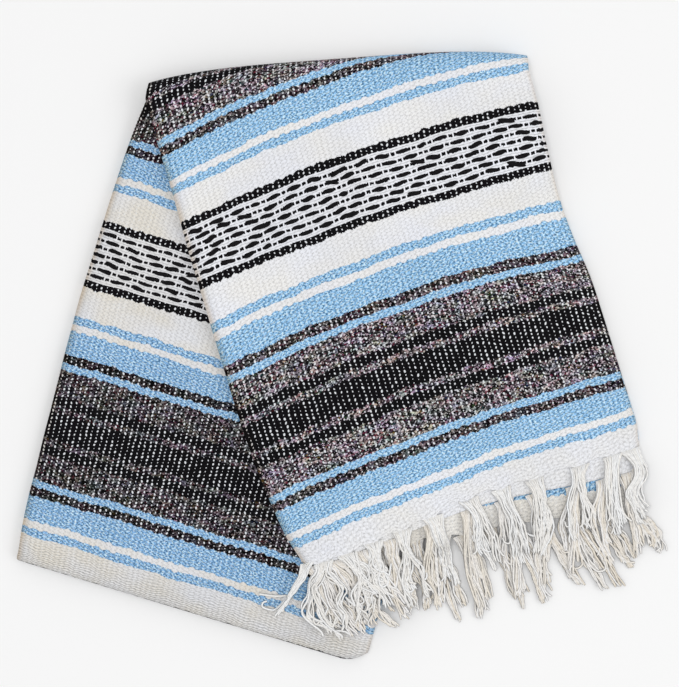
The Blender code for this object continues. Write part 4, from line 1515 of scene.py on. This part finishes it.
def tassel_paths(hem, tassel, tangle, random):
    """The centre lines of a tassel's yarns, in bunches that keep together down to their tips."""
    root_across, tip_across, tip_along, sway, spread = tassel
    root_u = (root_across - HEM_LEFT) / (HEM_RIGHT[hem] - HEM_LEFT)
    root_along = float(hem_along(hem, np.array(root_u))) + ROOT_INSIDE - HEM_PULL
    course = ((0.0, root_across, root_along), *TASSEL_BENDS.get((hem, root_across), ()),
              (1.0, tip_across, tip_along))
    s = np.linspace(0.0, 1.0, YARN_POINTS)
    lanes, yarns = ((-0.55, 0.55), 5) if spread < NARROW_SPREAD else ((-1.0, 0.0, 1.0), 8)
    reaches = random.permutation((1.0, random.uniform(0.85, 0.98), random.uniform(0.7, 0.95)))
    paths = []
    for lane, reach in zip(lanes, reaches):
        level = random.choice(BUNCH_LEVELS)
        apart = through(BUNCH_ROWS, 1, s) * mix(1.0, spread / WIDE_SPREAD, s)
        width = through(BUNCH_ROWS, 2, s)
        centre = (lane + wave(s, 0.25, SWING_TURNS, random)) * apart + sway * np.sin(pi * s)
        centre = centre + wave(s, 0.7 + 5.0 * tangle, SWEEP_TURNS, random)
        centre = centre + wave(s, 0.4 + 2.0 * tangle, BEND_TURNS, random)
        twist = random.normal(0.0, 1.6) * s
        for yarn in range(yarns):
            # Five yarns lie side by side and three more over them.
            beside, above = ((yarn - 2) / 2, 0.0) if yarn < 5 else ((yarn - 6) / 1.6, 1.0)
            beside, above = beside + random.normal(0.0, 0.1), above + random.normal(0.0, 0.15)
            own_s = s * reach * random.uniform(0.95, 1.01)
            across = through(course, 1, own_s) + centre
            across = across + width * (beside * np.cos(twist) - 0.5 * (above - 0.5) * np.sin(twist))
            across = across + wave(s, random.uniform(0.1, 0.3), CRIMP_TURNS, random)
            loose = wave(s, random.uniform(0.4, 1.0) + 1.2 * tangle, LOOSE_TURNS, random)
            across = across + loose * smooth(s / 0.6)
            across = across + random.normal(0.0, 0.9 + 2.0 * tangle) * s ** 4
            along = through(course, 2, own_s)
            along = along + wave(s, 1.6 * tangle + 0.2, SLIP_TURNS, random)
            luck, side = random.random(), random.choice((-1.0, 1.0))
            if luck < HOOKED_TIPS:
                hook = np.clip((s - HOOK_START) / HOOK_LENGTH, 0, 1)
                across = across + side * HOOK_ASIDE * hook ** 1.5
                along = along + HOOK_BACK * hook ** 2
            elif luck < HOOKED_TIPS + LOOPED_TIPS + 0.25 * tangle:
                # A tip that turns right back on itself.
                loop = np.clip((s - LOOP_START) / LOOP_LENGTH, 0, 1)
                turned = pi * np.minimum(loop * 1.3, 1.0)
                across = across + side * LOOP_ASIDE * (1 - np.cos(turned))
                along = along + LOOP_BACK * loop ** 1.6 - 4.0 * loop
            height = fringe_height(hem, across, along) + YARN_RADIUS + level * smooth(s / 0.3)
            stacked = above * np.cos(twist) + beside * np.sin(twist) * 0.5 + 0.25
            over = YARN_OVER_YARN * np.maximum(stacked, 0.0)
            height = height + over * mix(1.0, 0.6, s) * smooth(s / 0.1)
            paths.append(raised(spot(across, along, (FRONT_ACROSS, FRONT_ALONG), FRONT_CORNER), height))
    return paths


# A few yarns strayed from the leftmost tassel and lie in loose bows on the back leg.
STRAYS = (
    ((-46.0, -232.2), (-58.2, -244.4), (-65.0, -245.0), (-71.0, -242.4), (-70.4, -238.9),
     (-66.9, -237.5)),
    ((-48.7, -232.2), (-57.6, -232.8), (-65.0, -232.2), (-74.4, -230.8)),
)


def stray_paths():
    """The centre lines of the strayed yarns."""
    paths = []
    for stray in STRAYS:
        rows = [(share, *place) for share, place in zip(np.linspace(0, 1, len(stray)), stray)]
        s = np.linspace(0.0, 1.0, YARN_POINTS)
        place = np.stack([through(rows, 1, s), through(rows, 2, s)], axis=-1)
        paths.append(raised(place, rise(place, FRINGE_DROP) + 1.0 + 2.0 * (1 - s)))
    return paths


def tangle_at(across):
    """How tangled the tassels are: most at the hems' left end, where they lie on the back leg."""
    return 0.1 + 0.8 * (1 - smooth((across - 40.0) / 110.0)) * smooth((across - 6.0) / 14.0)


def fringe_lines(hem, random):
    """All the yarns of a hem's fringe as lines, with each one's own tone and thickness."""
    paths = []
    for tassel in TASSELS[hem]:
        paths += tassel_paths(hem, tassel, tangle_at(tassel[0]), random)
    if hem == "top":
        paths += stray_paths()
    tones = random.random(len(paths))
    sizes = YARN_RADIUS * random.uniform(0.85, 1.15, len(paths))
    points = np.concatenate(paths)
    edges = [(base + step, base + step + 1) for base in range(0, len(points), YARN_POINTS)
             for step in range(YARN_POINTS - 1)]
    mesh = bpy.data.meshes.new(f"fringe_{hem}_lines")
    mesh.from_pydata(in_metres(points), edges, [])
    taper = np.ones(YARN_POINTS)
    taper[-1] = 0.7
    for name, values, shape in (("tone", tones, np.ones(YARN_POINTS)), ("thickness", sizes, taper * MM)):
        attribute = mesh.attributes.new(name, "FLOAT", "POINT")
        attribute.data.foreach_set("value", np.outer(values, shape).ravel())
    return mesh


def build_yarn_tool():
    """Geometry nodes that turn lines into round yarns, each as thick as its lines say."""
    tool, given = new_tool("round yarns", "Lines", "Yarns")
    lines = tool_node(tool, "GeometryNodeMeshToCurve", Mesh=given["Lines"])
    ring = tool_node(tool, "GeometryNodeCurvePrimitiveCircle", Resolution=given["Sides"], Radius=1.0)
    marked = []
    for curve, label, measure in ((lines, "along", "Length"), (ring, "around", "Factor")):
        place = tool.nodes.new("GeometryNodeSplineParameter").outputs[measure]
        marked.append(tool_node(tool, "GeometryNodeStoreNamedAttribute", Name=label,
                                Geometry=curve["Curve"], Value=place)["Geometry"])
    skin = tool_node(tool, "GeometryNodeCurveToMesh", Curve=marked[0], Profile_Curve=marked[1],
                     Scale=marked_value(tool, "thickness", "FLOAT"), Fill_Caps=True)
    return end_tool(tool, given, skin["Mesh"], "Yarns")


yarn_tool = build_yarn_tool()
YARN_TWIST = 5.0
# The share of light left in the furrows of the yarn's twist, where shade is painted.
PAINTED_FURROW_LIGHT = 0.84
# Painted shade on the yarns' downward sides. Near the roots the yarns are matted together and
# little of it is painted: how far from the root it grows, and its share there and beyond.
MATTED = (8.0, 32.0)
PAINTED_UNDERSIDE_SHADE = (0.3, 0.84)


def build_yarn_finish(name, pale, creamy):
    """Soft white cotton yarn, with painted shade in the furrows of its twist and on its downward sides.
    """
    finish, shader = new_finish(name, 0.9)
    shader.inputs["Subsurface Weight"].default_value = 0.1
    shader.inputs["Subsurface Radius"].default_value = (0.002, 0.002, 0.002)
    shader.inputs["Subsurface Scale"].default_value = 1.0
    tree = finish.node_tree
    values = []
    for label in ("tone", "along", "around", "upward"):
        node = tree.nodes.new("ShaderNodeAttribute")
        node.attribute_name = label
        values.append(Term(tree, node.outputs["Fac"]))
    tone, along, around, upward = values
    # Painted shade: darker in the furrows of the twist and on the sides that face down.
    twist = math("SINE", along * (2 * pi / (YARN_TWIST * MM)) + around * (4 * pi))
    painted_underside_shade = (ranged(along, MATTED[0] * MM, MATTED[1] * MM, *PAINTED_UNDERSIDE_SHADE)
            * ranged(upward, -0.05, 0.74, 1.0, 0.0))
    light = ranged(twist, -1.0, -0.2, PAINTED_FURROW_LIGHT, 1.0) * (1.0 - painted_underside_shade)
    connect(shaded(blend(tone, pale, creamy), light), shader.inputs["Base Color"])
    add_bump(shader, twist, 0.5, 0.2 * MM)
    return finish


def add_fringe(hem, seed, pale, creamy):
    """All the yarns of one hem, each vertex marked with how far it faces up for painted shade."""
    yarn_finish = build_yarn_finish(f"fringe {hem} yarn", pale, creamy)
    name = f"fringe_{hem}_yarns"
    lines = fringe_lines(hem, np.random.default_rng(seed))
    mesh = apply_tool(name, lines, yarn_tool, Sides=6, Finish=yarn_finish)
    facings = np.empty(3 * len(mesh.vertices), dtype=np.float32)
    mesh.vertices.foreach_get("normal", facings)
    mesh.attributes.new("upward", "FLOAT", "POINT").data.foreach_set("value", facings[2::3].copy())
    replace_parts(add_piece(name, mesh), f"fringe_{hem}")


# Each hem's yarns get their own copy of the finish: the lower the hem, the darker and creamier, painted
# shade for fringes that lie under the others.
add_fringe("top", 11, dye(253, 254, 255), dye(249, 246, 241))
add_fringe("middle", 12, dye(253, 252, 252), dye(245, 237, 224))
add_fringe("low", 13, dye(250, 249, 248), dye(240, 230, 214))
